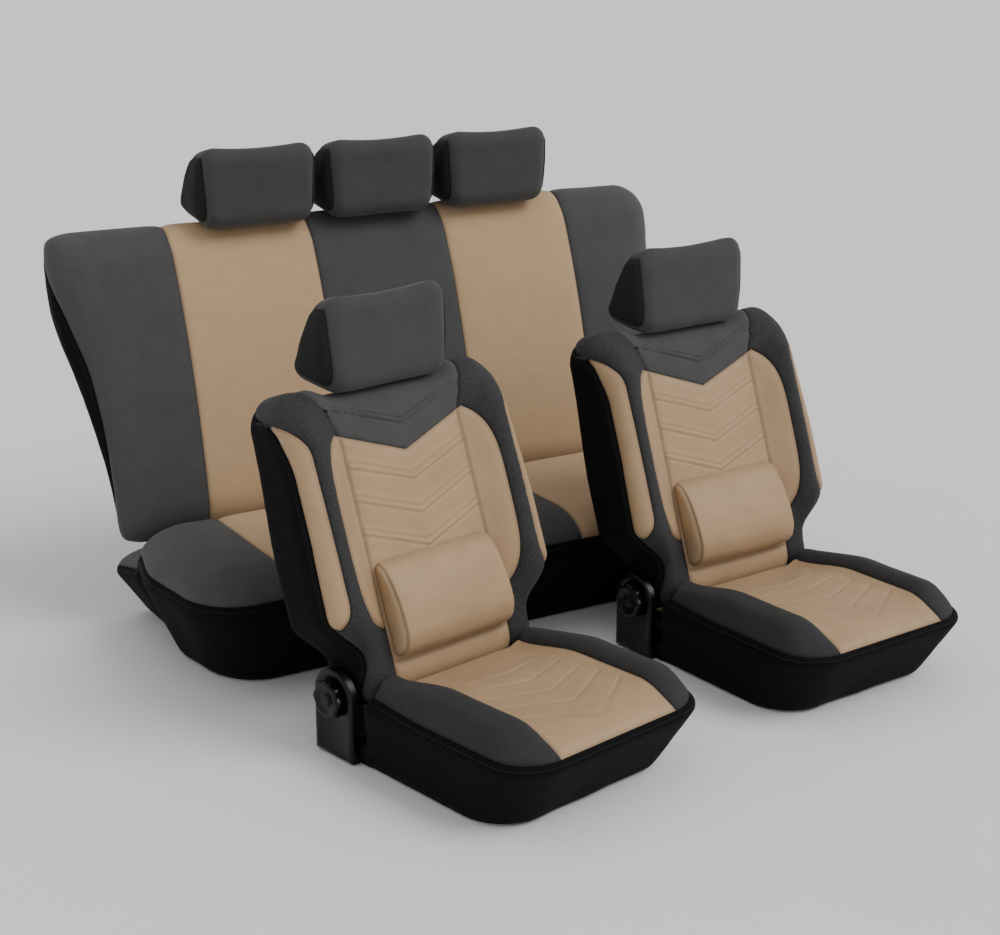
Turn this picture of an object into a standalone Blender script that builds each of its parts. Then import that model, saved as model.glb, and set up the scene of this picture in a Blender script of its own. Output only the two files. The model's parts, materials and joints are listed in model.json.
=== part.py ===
"""A seat cover set on the seats it fits: two front bucket seats and a rear bench with three headrests.

Metres, +Z up. The seats face -Y and stand on the plane z = 0. Each seat is built in its own frame and
placed by an empty. A backrest is built upright in a frame of its own, x across, y to the rear and z up
the back, under an empty on the recline axis that leans it. Each soft piece is a rounded block that is
bent into shape. Its sewn panels are the block's skin cut along the seams, and its foam is the block
drawn in under that skin.
"""

from math import cos, pi, radians, sin, tan

import bmesh
import bpy
from mathutils import Vector

# Layout of the three seats: x, y and turn about Z. The shift centres the whole set on the origin.
SHIFT = Vector((-0.51656, -0.23145, 0.0))
FRONT_RIGHT_PLACE = (0.0, 0.0, 0.0)
FRONT_LEFT_PLACE = (0.789, -0.066, radians(-6.7))
BENCH_PLACE = (0.501, 0.637, radians(-12.0))

# Cover and fits
COVER = 0.0025
FOAM_DEPTH = 0.0065
SEAM_GAP = 0.0005
GAP = 0.0005
HEM = 0.003
SNAP = 0.25

# Front seat backrest, in its leaning frame with the recline axis at z = 0
FRONT_LEAN = radians(20)
PIVOT_HEIGHT = 0.125
BACK_HALF = 0.285
BACK_WAIST_HALF = 0.2175
BACK_BOTTOM = -0.030
BACK_TOP = 0.577
BACK_FRONT = -0.085
BACK_REAR = 0.050
BOLSTER_RISE = 0.043
CENTRE_DIP = 0.018
INSERT_HALF = 0.147
WING_REACH = 0.059
WING_MIDDLE = 0.295
WING_HALF_HEIGHT = 0.190
V_TIP = 0.424
V_SLOPE = 0.36
STRIP_X = 0.243
SHOULDER_DRAW = 0.015
REAR_SEAM = ((0.0, 0.070), (0.12, 0.089), (0.30, 0.091), (0.44, 0.082), (0.52, 0.052), (0.56, -0.032))
REAR_SEAM_LIMIT = 0.075

# Front seat cushion and base
CUSHION_HALF = 0.250
CUSHION_FRONT = -0.530
CUSHION_REAR = -0.088
SHELF_STEP = 0.005
SHELF_REAR = 0.060
SHELF_TOP = 0.0605
SHELF_HALF = 0.2275
CUSHION_TOP = 0.175
SKIRT_SEAM = 0.152
PAN_HALF = 0.205
PAN_HEIGHT = 0.056

# Recliner
EAR_X = 0.2195
EAR_THICKNESS = 0.004
EAR_REACH = 0.030
EAR_FOOT = 0.043
SHIELD_X = 0.2285
SHIELD_THICKNESS = 0.018
SHIELD_RADIUS = 0.057
KNOB_RADIUS = 0.037
KNOB_THICKNESS = 0.018
KNOB_LOBES = 8
STUB_RADIUS = 0.006
TORSION_RADIUS = 0.012
TORSION_HALF = 0.2178
TUBE_OPENING = 0.017
FRAME_RADIUS = 0.010
FRAME_HALF = 0.165
FRAME_TOP = 0.42
FRAME_BEND = 0.05
FRAME_BEHIND_AXIS = 0.0035

# Lumbar pad
LUMBAR_HALF = 0.150
LUMBAR_BOTTOM = 0.045
LUMBAR_TOP = 0.228
LUMBAR_DEPTH = 0.046
LUMBAR_FULLEST = 0.095
LUMBAR_STAND = 0.0045

# Headrest, from the point where its posts enter the seat
POST_RADIUS = 0.006
POST_X = 0.070
POST_DROP = 0.095
POST_Y = -0.030
POST_REACH = 0.082
POST_HOLE = 0.0075
FRONT_POST_ENTRY = Vector((0.0, 0.005, 0.582))
FRONT_HEADREST = {
    "half": 0.156,
    "front_bottom": Vector((-0.100, -0.038)),
    "front_top": Vector((-0.152, 0.150)),
    "rear_top": Vector((-0.103, 0.157)),
    "rear_bottom": Vector((0.046, 0.034)),
}
BENCH_HEADREST = {
    "half": 0.146,
    "front_bottom": Vector((-0.100, -0.036)),
    "front_top": Vector((-0.150, 0.150)),
    "rear_top": Vector((-0.078, 0.157)),
    "rear_bottom": Vector((0.080, 0.044)),
}
HEADREST_BLOCK = Vector((0.0, 0.055, 0.085))

# Rear bench
BENCH_LEAN = radians(15)
BENCH_BACK_FOOT = 0.210
BENCH_HALF = 0.790
BENCH_WAIST_HALF = 0.742
BENCH_BACK_TOP = 0.697
BENCH_BACK_DEPTH = 0.130
BENCH_CROWN = 0.030
BENCH_CORNER = 0.085
STRIPE_INNER = 0.175
STRIPE_OUTER = 0.518
BENCH_REAR_SEAM = ((0.0, 0.045), (0.25, 0.010), (0.40, 0.006), (0.55, 0.030), (0.66, 0.090))
BENCH_CUSHION_HALF = 0.745
BENCH_CUSHION_FRONT = -0.445
BENCH_CUSHION_REAR = 0.135
BENCH_CUSHION_TOP = 0.252
BENCH_SEAM = 0.200
CUSHION_STRIPE_INNER = 0.190
RISER_HALF = 0.620
RISER_FRONT = -0.300
RISER_REAR = 0.115
RISER_HEIGHT = 0.080
BENCH_POST_ENTRY = Vector((0.0, 0.055, 0.696))
BENCH_HEADREST_X = {"right": -0.312, "centre": 0.0, "left": 0.312}

COLOURS = {
    "tan": ((0.370, 0.262, 0.168, 1), 0.50),
    "charcoal": ((0.050, 0.053, 0.053, 1), 0.80),
    "black_fabric": ((0.010, 0.010, 0.011, 1), 0.85),
    "foam": ((0.62, 0.58, 0.42, 1), 0.95),
    "steel": ((0.42, 0.43, 0.44, 1), 0.38),
    "gloss_black": ((0.012, 0.012, 0.013, 1), 0.25),
}


def clear_scene():
    for thing in list(bpy.data.objects):
        bpy.data.objects.remove(thing, do_unlink=True)


def make_material(name):
    colour, roughness = COLOURS[name]
    material = bpy.data.materials.new(name)
    material.use_nodes = True
    shader = material.node_tree.nodes["Principled BSDF"]
    shader.inputs["Base Color"].default_value = colour
    shader.inputs["Roughness"].default_value = roughness
    shader.inputs["Metallic"].default_value = 1.0 if name == "steel" else 0.0
    return material


def ease(value, start, end):
    """0 at start, 1 at end, smooth between. The two may be in either order."""
    share = min(max((value - start) / (end - start), 0.0), 1.0)
    return share * share * (3 - 2 * share)


def along(points, value):
    """The straight-line reading of a short list of (place, amount) points."""
    if value <= points[0][0]:
        return points[0][1]
    for (start, low), (end, high) in zip(points, points[1:]):
        if value <= end:
            return low + (high - low) * (value - start) / (end - start)
    return points[-1][1]


def collection_named(name):
    group = bpy.data.collections.new(name)
    bpy.context.scene.collection.children.link(group)
    return group


def add_object(name, bm, material, parent, smooth=True):
    """The bmesh as a named object of the set. The bmesh is freed."""
    bmesh.ops.recalc_face_normals(bm, faces=bm.faces)
    mesh = bpy.data.meshes.new(name)
    bm.to_mesh(mesh)
    bm.free()
    mesh.materials.append(MATERIALS[material])
    if smooth:
        mesh.shade_smooth()
        mesh.set_sharp_from_angle(angle=radians(50))
    thing = bpy.data.objects.new(name, mesh)
    thing.parent = parent
    SET.objects.link(thing)
    return thing


def add_empty(name, parent, location, rotation=(0, 0, 0)):
    empty = bpy.data.objects.new(name, None)
    empty.empty_display_size = 0.05
    empty.parent = parent
    empty.location = location
    empty.rotation_euler = rotation
    SET.objects.link(empty)
    return empty


# Rounded blocks ------------------------------------------------------------------------------------


def round_corner(co, low, high, radii):
    """A point of a box's skin, drawn in to the box's rounded edges and corners."""
    core = Vector(min(max(c, a + r), b - r) for c, a, b, r in zip(co, low, high, radii))
    away = Vector((c - k) / r for c, k, r in zip(co, core, radii))
    if away.length < 1e-9:
        return co.copy()
    away.normalize()
    return Vector(k + a * r for k, a, r in zip(core, away, radii))


def block(low, high, radii, cuts, shape=None, corner_steps=1):
    """A box cut into a grid, with its edges rounded and then bent by shape()."""
    bm = bmesh.new()
    bmesh.ops.create_cube(bm, size=1.0)
    for vert in bm.verts:
        vert.co = Vector(a + (c + 0.5) * (b - a) for c, a, b in zip(vert.co, low, high))
    for axis in range(3):
        normal = Vector((axis == 0, axis == 1, axis == 2))
        places = list(cuts[axis])
        for step in range(corner_steps):
            inset = radii[axis] * (1 - tan(pi / 4 * step / corner_steps))
            places += [low[axis] + inset, high[axis] - inset]
        for place in places:
            everything = bm.verts[:] + bm.edges[:] + bm.faces[:]
            bmesh.ops.bisect_plane(bm, geom=everything, plane_co=normal * place, plane_no=normal)
    for vert in bm.verts:
        vert.co = round_corner(vert.co, low, high, radii)
        if shape:
            vert.co = shape(vert.co)
    bmesh.ops.recalc_face_normals(bm, faces=bm.faces)
    bm.normal_update()
    return bm


def slice_flat(bm, place, normal):
    """Cuts away what is past the plane and closes the cut."""
    everything = bm.verts[:] + bm.edges[:] + bm.faces[:]
    bmesh.ops.bisect_plane(bm, geom=everything, plane_co=place, plane_no=normal, clear_outer=True)
    rim = [edge for edge in bm.edges if edge.is_boundary]
    bmesh.ops.contextual_create(bm, geom=rim)
    bm.normal_update()


def cut_seam(bm, field):
    """New edges where the field is zero. A vertex close to the seam moves onto it."""
    values = {vert: field(vert.co) for vert in bm.verts}
    moves = {}
    for edge in bm.edges:
        for near, far in (edge.verts, reversed(edge.verts)):
            if values[near] * values[far] < 0:
                share = values[near] / (values[near] - values[far])
                if share < SNAP:
                    moves.setdefault(near, []).append(near.co.lerp(far.co, share))
    for vert, places in moves.items():
        vert.co = sum(places, Vector()) / len(places)
        values[vert] = 0.0
    for edge in [e for e in bm.edges if values[e.verts[0]] * values[e.verts[1]] < 0]:
        first, second = edge.verts
        share = values[first] / (values[first] - values[second])
        values[bmesh.utils.edge_split(edge, first, share)[1]] = 0.0
    for face in list(bm.faces):
        on_seam = [vert for vert in face.verts if values[vert] == 0.0]
        signs = {values[vert] > 0 for vert in face.verts if values[vert] != 0.0}
        if len(on_seam) == 2 and len(signs) == 2:
            bmesh.utils.face_split(face, on_seam[0], on_seam[1])
    bm.normal_update()


def foam_of(form, depth=FOAM_DEPTH):
    """The form's body under its cover."""
    bm = form.copy()
    bm.normal_update()
    moved = [(vert, vert.co - vert.normal * depth) for vert in bm.verts]
    for vert, co in moved:
        vert.co = co
    return bm


def panel_of(form, keep, thickness=COVER):
    """The part of a form's skin whose face centres keep() accepts, as a closed shell."""
    bm = form.copy()
    bm.normal_update()
    inward = {vert: -vert.normal.copy() for vert in bm.verts}
    unwanted = [face for face in bm.faces if not keep(face.calc_center_median())]
    bmesh.ops.delete(bm, geom=unwanted, context="FACES")
    shifts = {}
    for edge in [e for e in bm.edges if e.is_boundary]:
        face = edge.link_faces[0]
        across = face.normal.cross(edge.verts[1].co - edge.verts[0].co).normalized()
        middle = (edge.verts[0].co + edge.verts[1].co) / 2
        if across.dot(face.calc_center_median() - middle) < 0:
            across.negate()
        for vert in edge.verts:
            shifts[vert] = shifts.get(vert, Vector()) + across
    for vert, shift in shifts.items():
        vert.co += shift.normalized() * SEAM_GAP
    outer_faces = bm.faces[:]
    outer = {vert: vert.co.copy() for vert in bm.verts}
    bmesh.ops.extrude_face_region(bm, geom=outer_faces, use_keep_orig=True)
    for vert, co in outer.items():
        if vert.is_valid:
            vert.co = co + inward[vert] * thickness
    return bm


# Solid pieces --------------------------------------------------------------------------------------


def box_mesh(low, high):
    bm = bmesh.new()
    bmesh.ops.create_cube(bm, size=1.0)
    for vert in bm.verts:
        vert.co = Vector(a + (c + 0.5) * (b - a) for c, a, b in zip(vert.co, low, high))
    return bm


def cylinder_mesh(radius, start, end, sides=16):
    """A cylinder between two points."""
    line = Vector(end) - Vector(start)
    bm = bmesh.new()
    bmesh.ops.create_cone(
        bm, cap_ends=True, segments=sides, radius1=radius, radius2=radius, depth=line.length
    )
    turn = line.to_track_quat("Z", "Y").to_matrix().to_4x4()
    bmesh.ops.transform(bm, matrix=turn, verts=bm.verts)
    bmesh.ops.translate(bm, vec=(Vector(start) + Vector(end)) / 2, verts=bm.verts)
    return bm


def hoop_mesh(half_width, bottom, top, radius, bend, depth):
    """A round bar bent into an upside-down U in the plane y = depth."""
    corners = ((-half_width + bend, (180, 150, 120, 90)), (half_width - bend, (90, 60, 30, 0)))
    curve = bpy.data.curves.new("hoop", "CURVE")
    curve.dimensions = "3D"
    curve.bevel_depth = radius
    curve.bevel_resolution = 2
    curve.use_fill_caps = True
    points = [(-half_width, bottom)]
    for centre_x, turns in corners:
        for turn in turns:
            points.append((centre_x + bend * cos(radians(turn)), top - bend + bend * sin(radians(turn))))
    points.append((half_width, bottom))
    spline = curve.splines.new("POLY")
    spline.points.add(len(points) - 1)
    for point, (x, z) in zip(spline.points, points):
        point.co = (x, depth, z, 1)
    thing = bpy.data.objects.new("hoop", curve)
    SET.objects.link(thing)
    mesh = bpy.data.meshes.new_from_object(thing.evaluated_get(bpy.context.evaluated_depsgraph_get()))
    bm = bmesh.new()
    bm.from_mesh(mesh)
    bmesh.ops.remove_doubles(bm, verts=bm.verts, dist=1e-5)
    bpy.data.objects.remove(thing, do_unlink=True)
    return bm


def combine(target, bm, operation):
    """Joins another mesh to the target, or cuts it out of it, with an exact Boolean."""
    bmesh.ops.recalc_face_normals(bm, faces=bm.faces)
    mesh = bpy.data.meshes.new(target.name + "_tool")
    bm.to_mesh(mesh)
    bm.free()
    tool = bpy.data.objects.new(target.name + "_tool", mesh)
    tool.parent = target.parent
    tool.hide_render = True
    tool.display_type = "WIRE"
    CUTTERS.objects.link(tool)
    modifier = target.modifiers.new(operation.lower(), "BOOLEAN")
    modifier.operation = operation
    modifier.solver = "EXACT"
    modifier.object = tool


# Headrests -----------------------------------------------------------------------------------------


def headrest_form(sizes):
    """A wedge between four corners, fullest across its middle."""
    half = sizes["half"]
    high = Vector((half, HEADREST_BLOCK.y, HEADREST_BLOCK.z))

    def shape(co):
        across = (co.y + high.y) / (2 * high.y)
        up = (co.z + high.z) / (2 * high.z)
        front = sizes["front_bottom"].lerp(sizes["front_top"], up)
        rear = sizes["rear_bottom"].lerp(sizes["rear_top"], up)
        place = front.lerp(rear, across)
        return Vector((co.x * (1.0 - 0.06 * (co.z / high.z) ** 2), place.x, place.y))

    return block(-high, high, (0.040, 0.032, 0.036), ((-0.05, 0.05), (), (0.0,)), shape)


def post_hoop(radius):
    return hoop_mesh(POST_X, -POST_DROP, POST_REACH, radius, 0.02, POST_Y)


def is_wrapped(centre):
    """The cover goes all round the headrest but for an opening underneath for the posts."""
    return centre.z > 0.035 or abs(centre.y + 0.018) > 0.045 or abs(centre.x) > 0.1


def add_headrest(prefix, parent, sizes, separate_foam):
    """A headrest on its two posts. Its frame's origin is where the posts enter the seat."""
    form = headrest_form(sizes)
    foam = foam_of(form) if separate_foam else form.copy()
    name = prefix + ("headrest_foam" if separate_foam else "headrest_cover")
    core = add_object(name, foam, "foam" if separate_foam else "charcoal", parent)
    combine(core, post_hoop(POST_RADIUS + GAP), "DIFFERENCE")
    if separate_foam:
        add_object(prefix + "headrest_cover", panel_of(form, is_wrapped), "charcoal", parent)
    form.free()
    add_object(prefix + "headrest_posts", post_hoop(POST_RADIUS), "steel", parent)


# Front seat ----------------------------------------------------------------------------------------


def back_half_width(z):
    flare = (BACK_HALF - BACK_WAIST_HALF) * ease(z, 0.058, 0.155)
    return BACK_WAIST_HALF + flare - SHOULDER_DRAW * ease(z, 0.25, 0.50)


def back_shape(co):
    """Narrow at the waist, bolsters down both sides, and a dip in the top for the headrest."""
    outside = max(abs(co.x) - INSERT_HALF, 0.0)
    narrower = (back_half_width(co.z) - INSERT_HALF) / (BACK_HALF - INSERT_HALF)
    x = co.x - outside * (1 - narrower) * (1 if co.x > 0 else -1)
    forward = min(max(co.y / BACK_FRONT, 0.0), 1.0)
    rise = BOLSTER_RISE * ease(abs(x), INSERT_HALF, 0.235) * ease(co.z, 0.02, 0.15)
    y = co.y - rise * (1 - ease(co.z, 0.47, 0.57)) * forward
    y += 0.010 * (1 - (co.x / BACK_HALF) ** 2) * ease(co.y, 0.0, BACK_REAR)
    z = co.z - CENTRE_DIP * (1 - ease(abs(x), 0.13, 0.18)) * ease(co.z, 0.45, BACK_TOP)
    return Vector((x, y, z))


def back_form():
    return block(
        Vector((-BACK_HALF, BACK_FRONT, BACK_BOTTOM)),
        Vector((BACK_HALF, BACK_REAR, BACK_TOP)),
        (0.060, 0.045, 0.060),
        (
            (-INSERT_HALF, INSERT_HALF),
            (-0.015,),
            (0.06, WING_MIDDLE - WING_HALF_HEIGHT, 0.155, 0.20, 0.30, 0.40, 0.48),
        ),
        back_shape,
    )


def rear_field(co):
    """Above zero on the black rear cover, which comes near the front only on the bolsters."""
    limit = REAR_SEAM_LIMIT + 0.3 * max(abs(co.x) - INSERT_HALF, 0.0)
    return co.y + min(along(REAR_SEAM, co.z), limit)


def wing_edge(z):
    height = min(abs(z - WING_MIDDLE) / WING_HALF_HEIGHT, 1.0)
    return INSERT_HALF + WING_REACH * (1 - height**4) ** (2 / 3)


def insert_field(co):
    """Below zero inside the tan insert, its wings and its pointed top."""
    under_v = (co.z - V_TIP - V_SLOPE * abs(co.x)) * 0.94
    return max(abs(co.x) - wing_edge(co.z), under_v, co.y + 0.04)


def strip_field(co):
    """Below zero inside the tan strip on a bolster's side."""
    depth = -co.y / 0.13
    top = co.z - 0.535 + 0.045 * depth * abs(depth)
    bottom = 0.118 + 0.035 * depth * depth - co.z
    return max(STRIP_X - abs(co.x), rear_field(co), top, bottom)


def frame_hoop(radius):
    return hoop_mesh(FRAME_HALF, 0.0, FRAME_TOP, radius, FRAME_BEND, FRAME_BEHIND_AXIS)


def torsion_tube(radius, half_length):
    return cylinder_mesh(radius, (-half_length, 0, 0), (half_length, 0, 0))


def add_backrest(prefix, tilt):
    form = back_form()
    cut_seam(form, rear_field)
    cut_seam(form, insert_field)
    cut_seam(form, strip_field)

    def is_rear(centre):
        return rear_field(centre) > 0

    def is_insert(centre):
        return insert_field(centre) < 0 and not is_rear(centre)

    def is_strip(centre, side):
        return strip_field(centre) < 0 and not is_rear(centre) and centre.x * side > 0

    def is_surround(centre):
        return not (is_rear(centre) or is_insert(centre) or strip_field(centre) < 0)

    foam = add_object(prefix + "back_foam", foam_of(form), "foam", tilt)
    combine(foam, frame_hoop(FRAME_RADIUS + GAP), "DIFFERENCE")
    combine(foam, torsion_tube(TORSION_RADIUS + GAP, BACK_HALF), "DIFFERENCE")
    frame = add_object(prefix + "back_frame", frame_hoop(FRAME_RADIUS), "steel", tilt)
    combine(frame, torsion_tube(TORSION_RADIUS, TORSION_HALF), "UNION")
    rear = add_object(prefix + "back_rear_cover", panel_of(form, is_rear), "black_fabric", tilt)
    combine(rear, torsion_tube(TUBE_OPENING, BACK_HALF), "DIFFERENCE")
    surround = add_object(prefix + "back_surround", panel_of(form, is_surround), "charcoal", tilt)
    add_object(prefix + "back_insert", panel_of(form, is_insert), "tan", tilt)
    for side, word in ((-1, "right"), (1, "left")):
        strip = panel_of(form, lambda centre: is_strip(centre, side))
        add_object(f"{prefix}bolster_strip_{word}", strip, "tan", tilt)
        start = FRONT_POST_ENTRY + Vector((side * POST_X, POST_Y, -POST_DROP - 0.01))
        end = FRONT_POST_ENTRY + Vector((side * POST_X, POST_Y, 0.05))
        combine(foam, cylinder_mesh(POST_HOLE, start, end), "DIFFERENCE")
        combine(surround, cylinder_mesh(POST_HOLE, start, end), "DIFFERENCE")
    form.free()
    add_lumbar_pad(prefix, tilt)
    slide = add_empty(prefix + "headrest_slide", tilt, FRONT_POST_ENTRY)
    add_headrest(prefix, slide, FRONT_HEADREST, True)


def add_lumbar_pad(prefix, tilt):
    """The pad stands on the insert's flat middle."""
    back = BACK_FRONT - LUMBAR_STAND

    def shape(co):
        """Thin at its top edge, fullest at a third of its height."""
        height = min(max((co.z - LUMBAR_FULLEST) / (LUMBAR_TOP - LUMBAR_FULLEST), 0.0), 1.0)
        thickness = 0.15 + 0.85 * (1 - height**2) ** 0.7
        bulge = 0.004 * (1 - (co.x / LUMBAR_HALF) ** 2) * ease(co.y, back, back - LUMBAR_DEPTH)
        y = back + (co.y - back) * thickness if co.y < back else co.y
        return Vector((co.x * 0.965, y - bulge * thickness, co.z))

    pad = block(
        Vector((-LUMBAR_HALF, back - LUMBAR_DEPTH, LUMBAR_BOTTOM)),
        Vector((LUMBAR_HALF, back + 0.045, LUMBAR_TOP)),
        (0.012, 0.044, 0.026),
        ((-0.05, 0.05), (), (0.11, 0.137, 0.165, 0.19)),
        shape,
    )
    slice_flat(pad, (0, back, 0), (0, 1, 0))
    add_object(prefix + "lumbar_pad", pad, "tan", tilt)


def shelf_share(y):
    """0 under the occupant, 1 on the low shelf under the backrest."""
    return ease(y, CUSHION_REAR - SHELF_STEP, CUSHION_REAR + SHELF_STEP)


def cushion_shape(co):
    """Bolsters along both sides, a skirt that draws in towards its hem, and a low shelf at the rear."""
    top = ease(co.z, 0.13, CUSHION_TOP)
    low = min(max((0.14 - co.z) / 0.14, 0.0), 1.0)
    rise = 0.030 * ease(abs(co.x), 0.12, 0.18) * (1 - ease(abs(co.x), 0.205, CUSHION_HALF))
    fall = 0.026 * ease(co.y, -0.27, CUSHION_REAR)
    z = co.z + (rise * ease(co.y, CUSHION_FRONT + 0.02, -0.42) - fall) * top
    if z > 0:
        z *= 1 - (1 - SHELF_TOP / (CUSHION_TOP - 0.026)) * shelf_share(co.y)
    y = co.y + 0.088 * low * (1 - ease(co.y, -0.42, -0.20))
    narrow = ease(co.y, -0.105, -0.066)
    x = co.x * ((1 - 0.10 * low) * (1 - narrow) + SHELF_HALF / CUSHION_HALF * narrow)
    return Vector((x, y, z))


def cushion_form():
    form = block(
        Vector((-CUSHION_HALF, CUSHION_FRONT, -0.060)),
        Vector((CUSHION_HALF, 0.170, CUSHION_TOP)),
        (0.100, 0.100, 0.045),
        (
            (-0.234, -0.19, -0.146, 0.146, 0.19, 0.234),
            (-0.36, -0.27, -0.18, CUSHION_REAR - SHELF_STEP, CUSHION_REAR + SHELF_STEP, -0.066),
            (0.06,),
        ),
        cushion_shape,
        corner_steps=2,
    )
    slice_flat(form, (0, SHELF_REAR, 0), (0, 1, 0))
    slice_flat(form, (0, 0, HEM), (0, 0, -1))
    return form


def skirt_seam(y):
    """The height of the seam between the seat top and the skirt, low along the rear shelf."""
    return SKIRT_SEAM + (SHELF_TOP - 0.014 - SKIRT_SEAM) * shelf_share(y)


def add_cushion(prefix, seat):
    form = cushion_form()
    cut_seam(form, lambda co: co.z - skirt_seam(co.y))
    cut_seam(form, lambda co: abs(co.x) - INSERT_HALF)
    foam = foam_of(form)
    slice_flat(foam, (0, 0, PAN_HEIGHT + 0.002), (0, 0, -1))
    add_object(prefix + "cushion_foam", foam, "foam", seat)

    def is_skin(centre):
        beside_ear = abs(centre.x) > 0.205 and centre.y > CUSHION_REAR and centre.z > skirt_seam(centre.y)
        return HEM + 0.001 < centre.z and centre.y < SHELF_REAR - 0.001 and not beside_ear

    def is_top(centre, low, high):
        return is_skin(centre) and centre.z > skirt_seam(centre.y) and low < centre.x < high

    half = CUSHION_HALF + 0.1
    tops = {
        "cushion_insert": (-INSERT_HALF, INSERT_HALF, "tan"),
        "cushion_side_right": (-half, -INSERT_HALF, "charcoal"),
        "cushion_side_left": (INSERT_HALF, half, "charcoal"),
    }
    for name, (low, high, material) in tops.items():
        add_object(prefix + name, panel_of(form, lambda c: is_top(c, low, high)), material, seat)
    skirt = panel_of(form, lambda c: is_skin(c) and c.z < skirt_seam(c.y))
    add_object(prefix + "cushion_skirt", skirt, "black_fabric", seat)
    form.free()


def add_base(prefix, seat):
    """The pressed pan that stands on the floor, with an ear on each side for the recline axis."""
    pan = box_mesh((-PAN_HALF, -0.385, 0), (PAN_HALF, 0.055, PAN_HEIGHT))
    bmesh.ops.bevel(pan, geom=pan.edges[:], offset=0.006, segments=1, affect="EDGES")
    base = add_object(prefix + "seat_base", pan, "steel", seat, smooth=False)
    for side in (-1, 1):
        near, far = sorted((side * EAR_X, side * (EAR_X + EAR_THICKNESS)))
        ear_top = PIVOT_HEIGHT + EAR_REACH
        combine(base, box_mesh((near, -EAR_REACH, 0.030), (far, EAR_REACH, ear_top)), "UNION")
        near, far = sorted((side * (PAN_HALF - 0.01), side * (EAR_X + EAR_THICKNESS / 2)))
        combine(base, box_mesh((near, -EAR_REACH, 0.030), (far, EAR_REACH, EAR_FOOT)), "UNION")
    combine(base, stub_hole(), "DIFFERENCE")


def stub_hole():
    """The clearance for the knob's stub, through the right ear and the shield."""
    return cylinder_mesh(STUB_RADIUS + GAP, (-0.28, 0, PIVOT_HEIGHT), (-0.21, 0, PIVOT_HEIGHT))


def add_recliner(prefix, seat):
    """The gloss shield outside the right ear, and the lobed knob whose stub passes through it."""
    shield = cylinder_mesh(
        SHIELD_RADIUS,
        (-SHIELD_X, 0, PIVOT_HEIGHT),
        (-SHIELD_X - SHIELD_THICKNESS, 0, PIVOT_HEIGHT),
        32,
    )
    hood = add_object(prefix + "recliner_shield", shield, "gloss_black", seat)
    skirt = box_mesh(
        (-SHIELD_X - SHIELD_THICKNESS, -SHIELD_RADIUS, 0.004), (-SHIELD_X, SHIELD_RADIUS, PIVOT_HEIGHT)
    )
    combine(hood, skirt, "UNION")
    combine(hood, stub_hole(), "DIFFERENCE")

    axis = add_empty(prefix + "knob_axis", seat, (0, 0, PIVOT_HEIGHT))
    inner = -SHIELD_X - SHIELD_THICKNESS - GAP
    knob = cylinder_mesh(KNOB_RADIUS, (inner, 0, 0), (inner - KNOB_THICKNESS, 0, 0), KNOB_LOBES * 4)
    for vert in knob.verts:
        turn = Vector((vert.co.y, vert.co.z)).angle_signed(Vector((1, 0)))
        reach = 1 + 0.06 * cos(KNOB_LOBES * turn)
        vert.co.y *= reach
        vert.co.z *= reach
    outer_rim = [e for e in knob.edges if all(v.co.x < inner - KNOB_THICKNESS + 1e-5 for v in e.verts)]
    bmesh.ops.bevel(knob, geom=outer_rim, offset=0.004, segments=2, affect="EDGES")
    grip = add_object(prefix + "recliner_knob", knob, "gloss_black", axis)
    stub = cylinder_mesh(STUB_RADIUS, (inner - 0.005, 0, 0), (-EAR_X + 0.0008, 0, 0), 12)
    combine(grip, stub, "UNION")


def add_front_seat(prefix, place):
    x, y, turn = place
    seat = add_empty(prefix + "seat", None, Vector((x, y, 0)) + SHIFT, (0, 0, turn))
    add_base(prefix, seat)
    add_cushion(prefix, seat)
    add_recliner(prefix, seat)
    tilt = add_empty(prefix + "recline_axis", seat, (0, 0, PIVOT_HEIGHT), (-FRONT_LEAN, 0, 0))
    add_backrest(prefix, tilt)


# Rear bench ----------------------------------------------------------------------------------------


def squared(x, z, corner_x, corner_z, radius):
    """A point of a rounded corner, moved halfway out to a corner of half that radius."""
    push = max(0.0, 1 - abs(corner_x - x) / radius) * max(0.0, 1 - abs(corner_z - z) / radius)
    return x + (corner_x - x) * push, z + (corner_z - z) * push


def bench_back_shape(co):
    """Wider at the top, crowned in front, its sides drawn in towards the rear lower down."""
    x, z = co.x, co.z
    for corner in ((-BENCH_HALF, BENCH_BACK_TOP), (-BENCH_HALF, 0.0), (BENCH_HALF, 0.0)):
        x, z = squared(x, z, *corner, BENCH_CORNER)
    half = BENCH_WAIST_HALF + (BENCH_HALF - BENCH_WAIST_HALF) * ease(z, 0.05, 0.60)
    draw_in = (0.006 + 0.084 * (1 - ease(z, 0.15, 0.55))) * ease(co.y, 0.0, BENCH_BACK_DEPTH)
    forward = ease(co.y, 0.06, 0.0)
    crown = BENCH_CROWN * forward * max(0.0, 1 - ((z - 0.33) / 0.33) ** 2)
    return Vector((x / BENCH_HALF * (half - draw_in), co.y - crown * (1 - (x / BENCH_HALF) ** 6), z))


def bench_back_form():
    return block(
        Vector((-BENCH_HALF, 0, 0)),
        Vector((BENCH_HALF, BENCH_BACK_DEPTH, BENCH_BACK_TOP)),
        (BENCH_CORNER, 0.055, BENCH_CORNER),
        ((-STRIPE_OUTER, -STRIPE_INNER, STRIPE_INNER, STRIPE_OUTER), (), (0.20, 0.33, 0.46)),
        bench_back_shape,
    )


def bench_rear_seam(z):
    """The black rear cover's front edge: far back at the top corner, at the front edge lower down."""
    return along(BENCH_REAR_SEAM, z)


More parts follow.
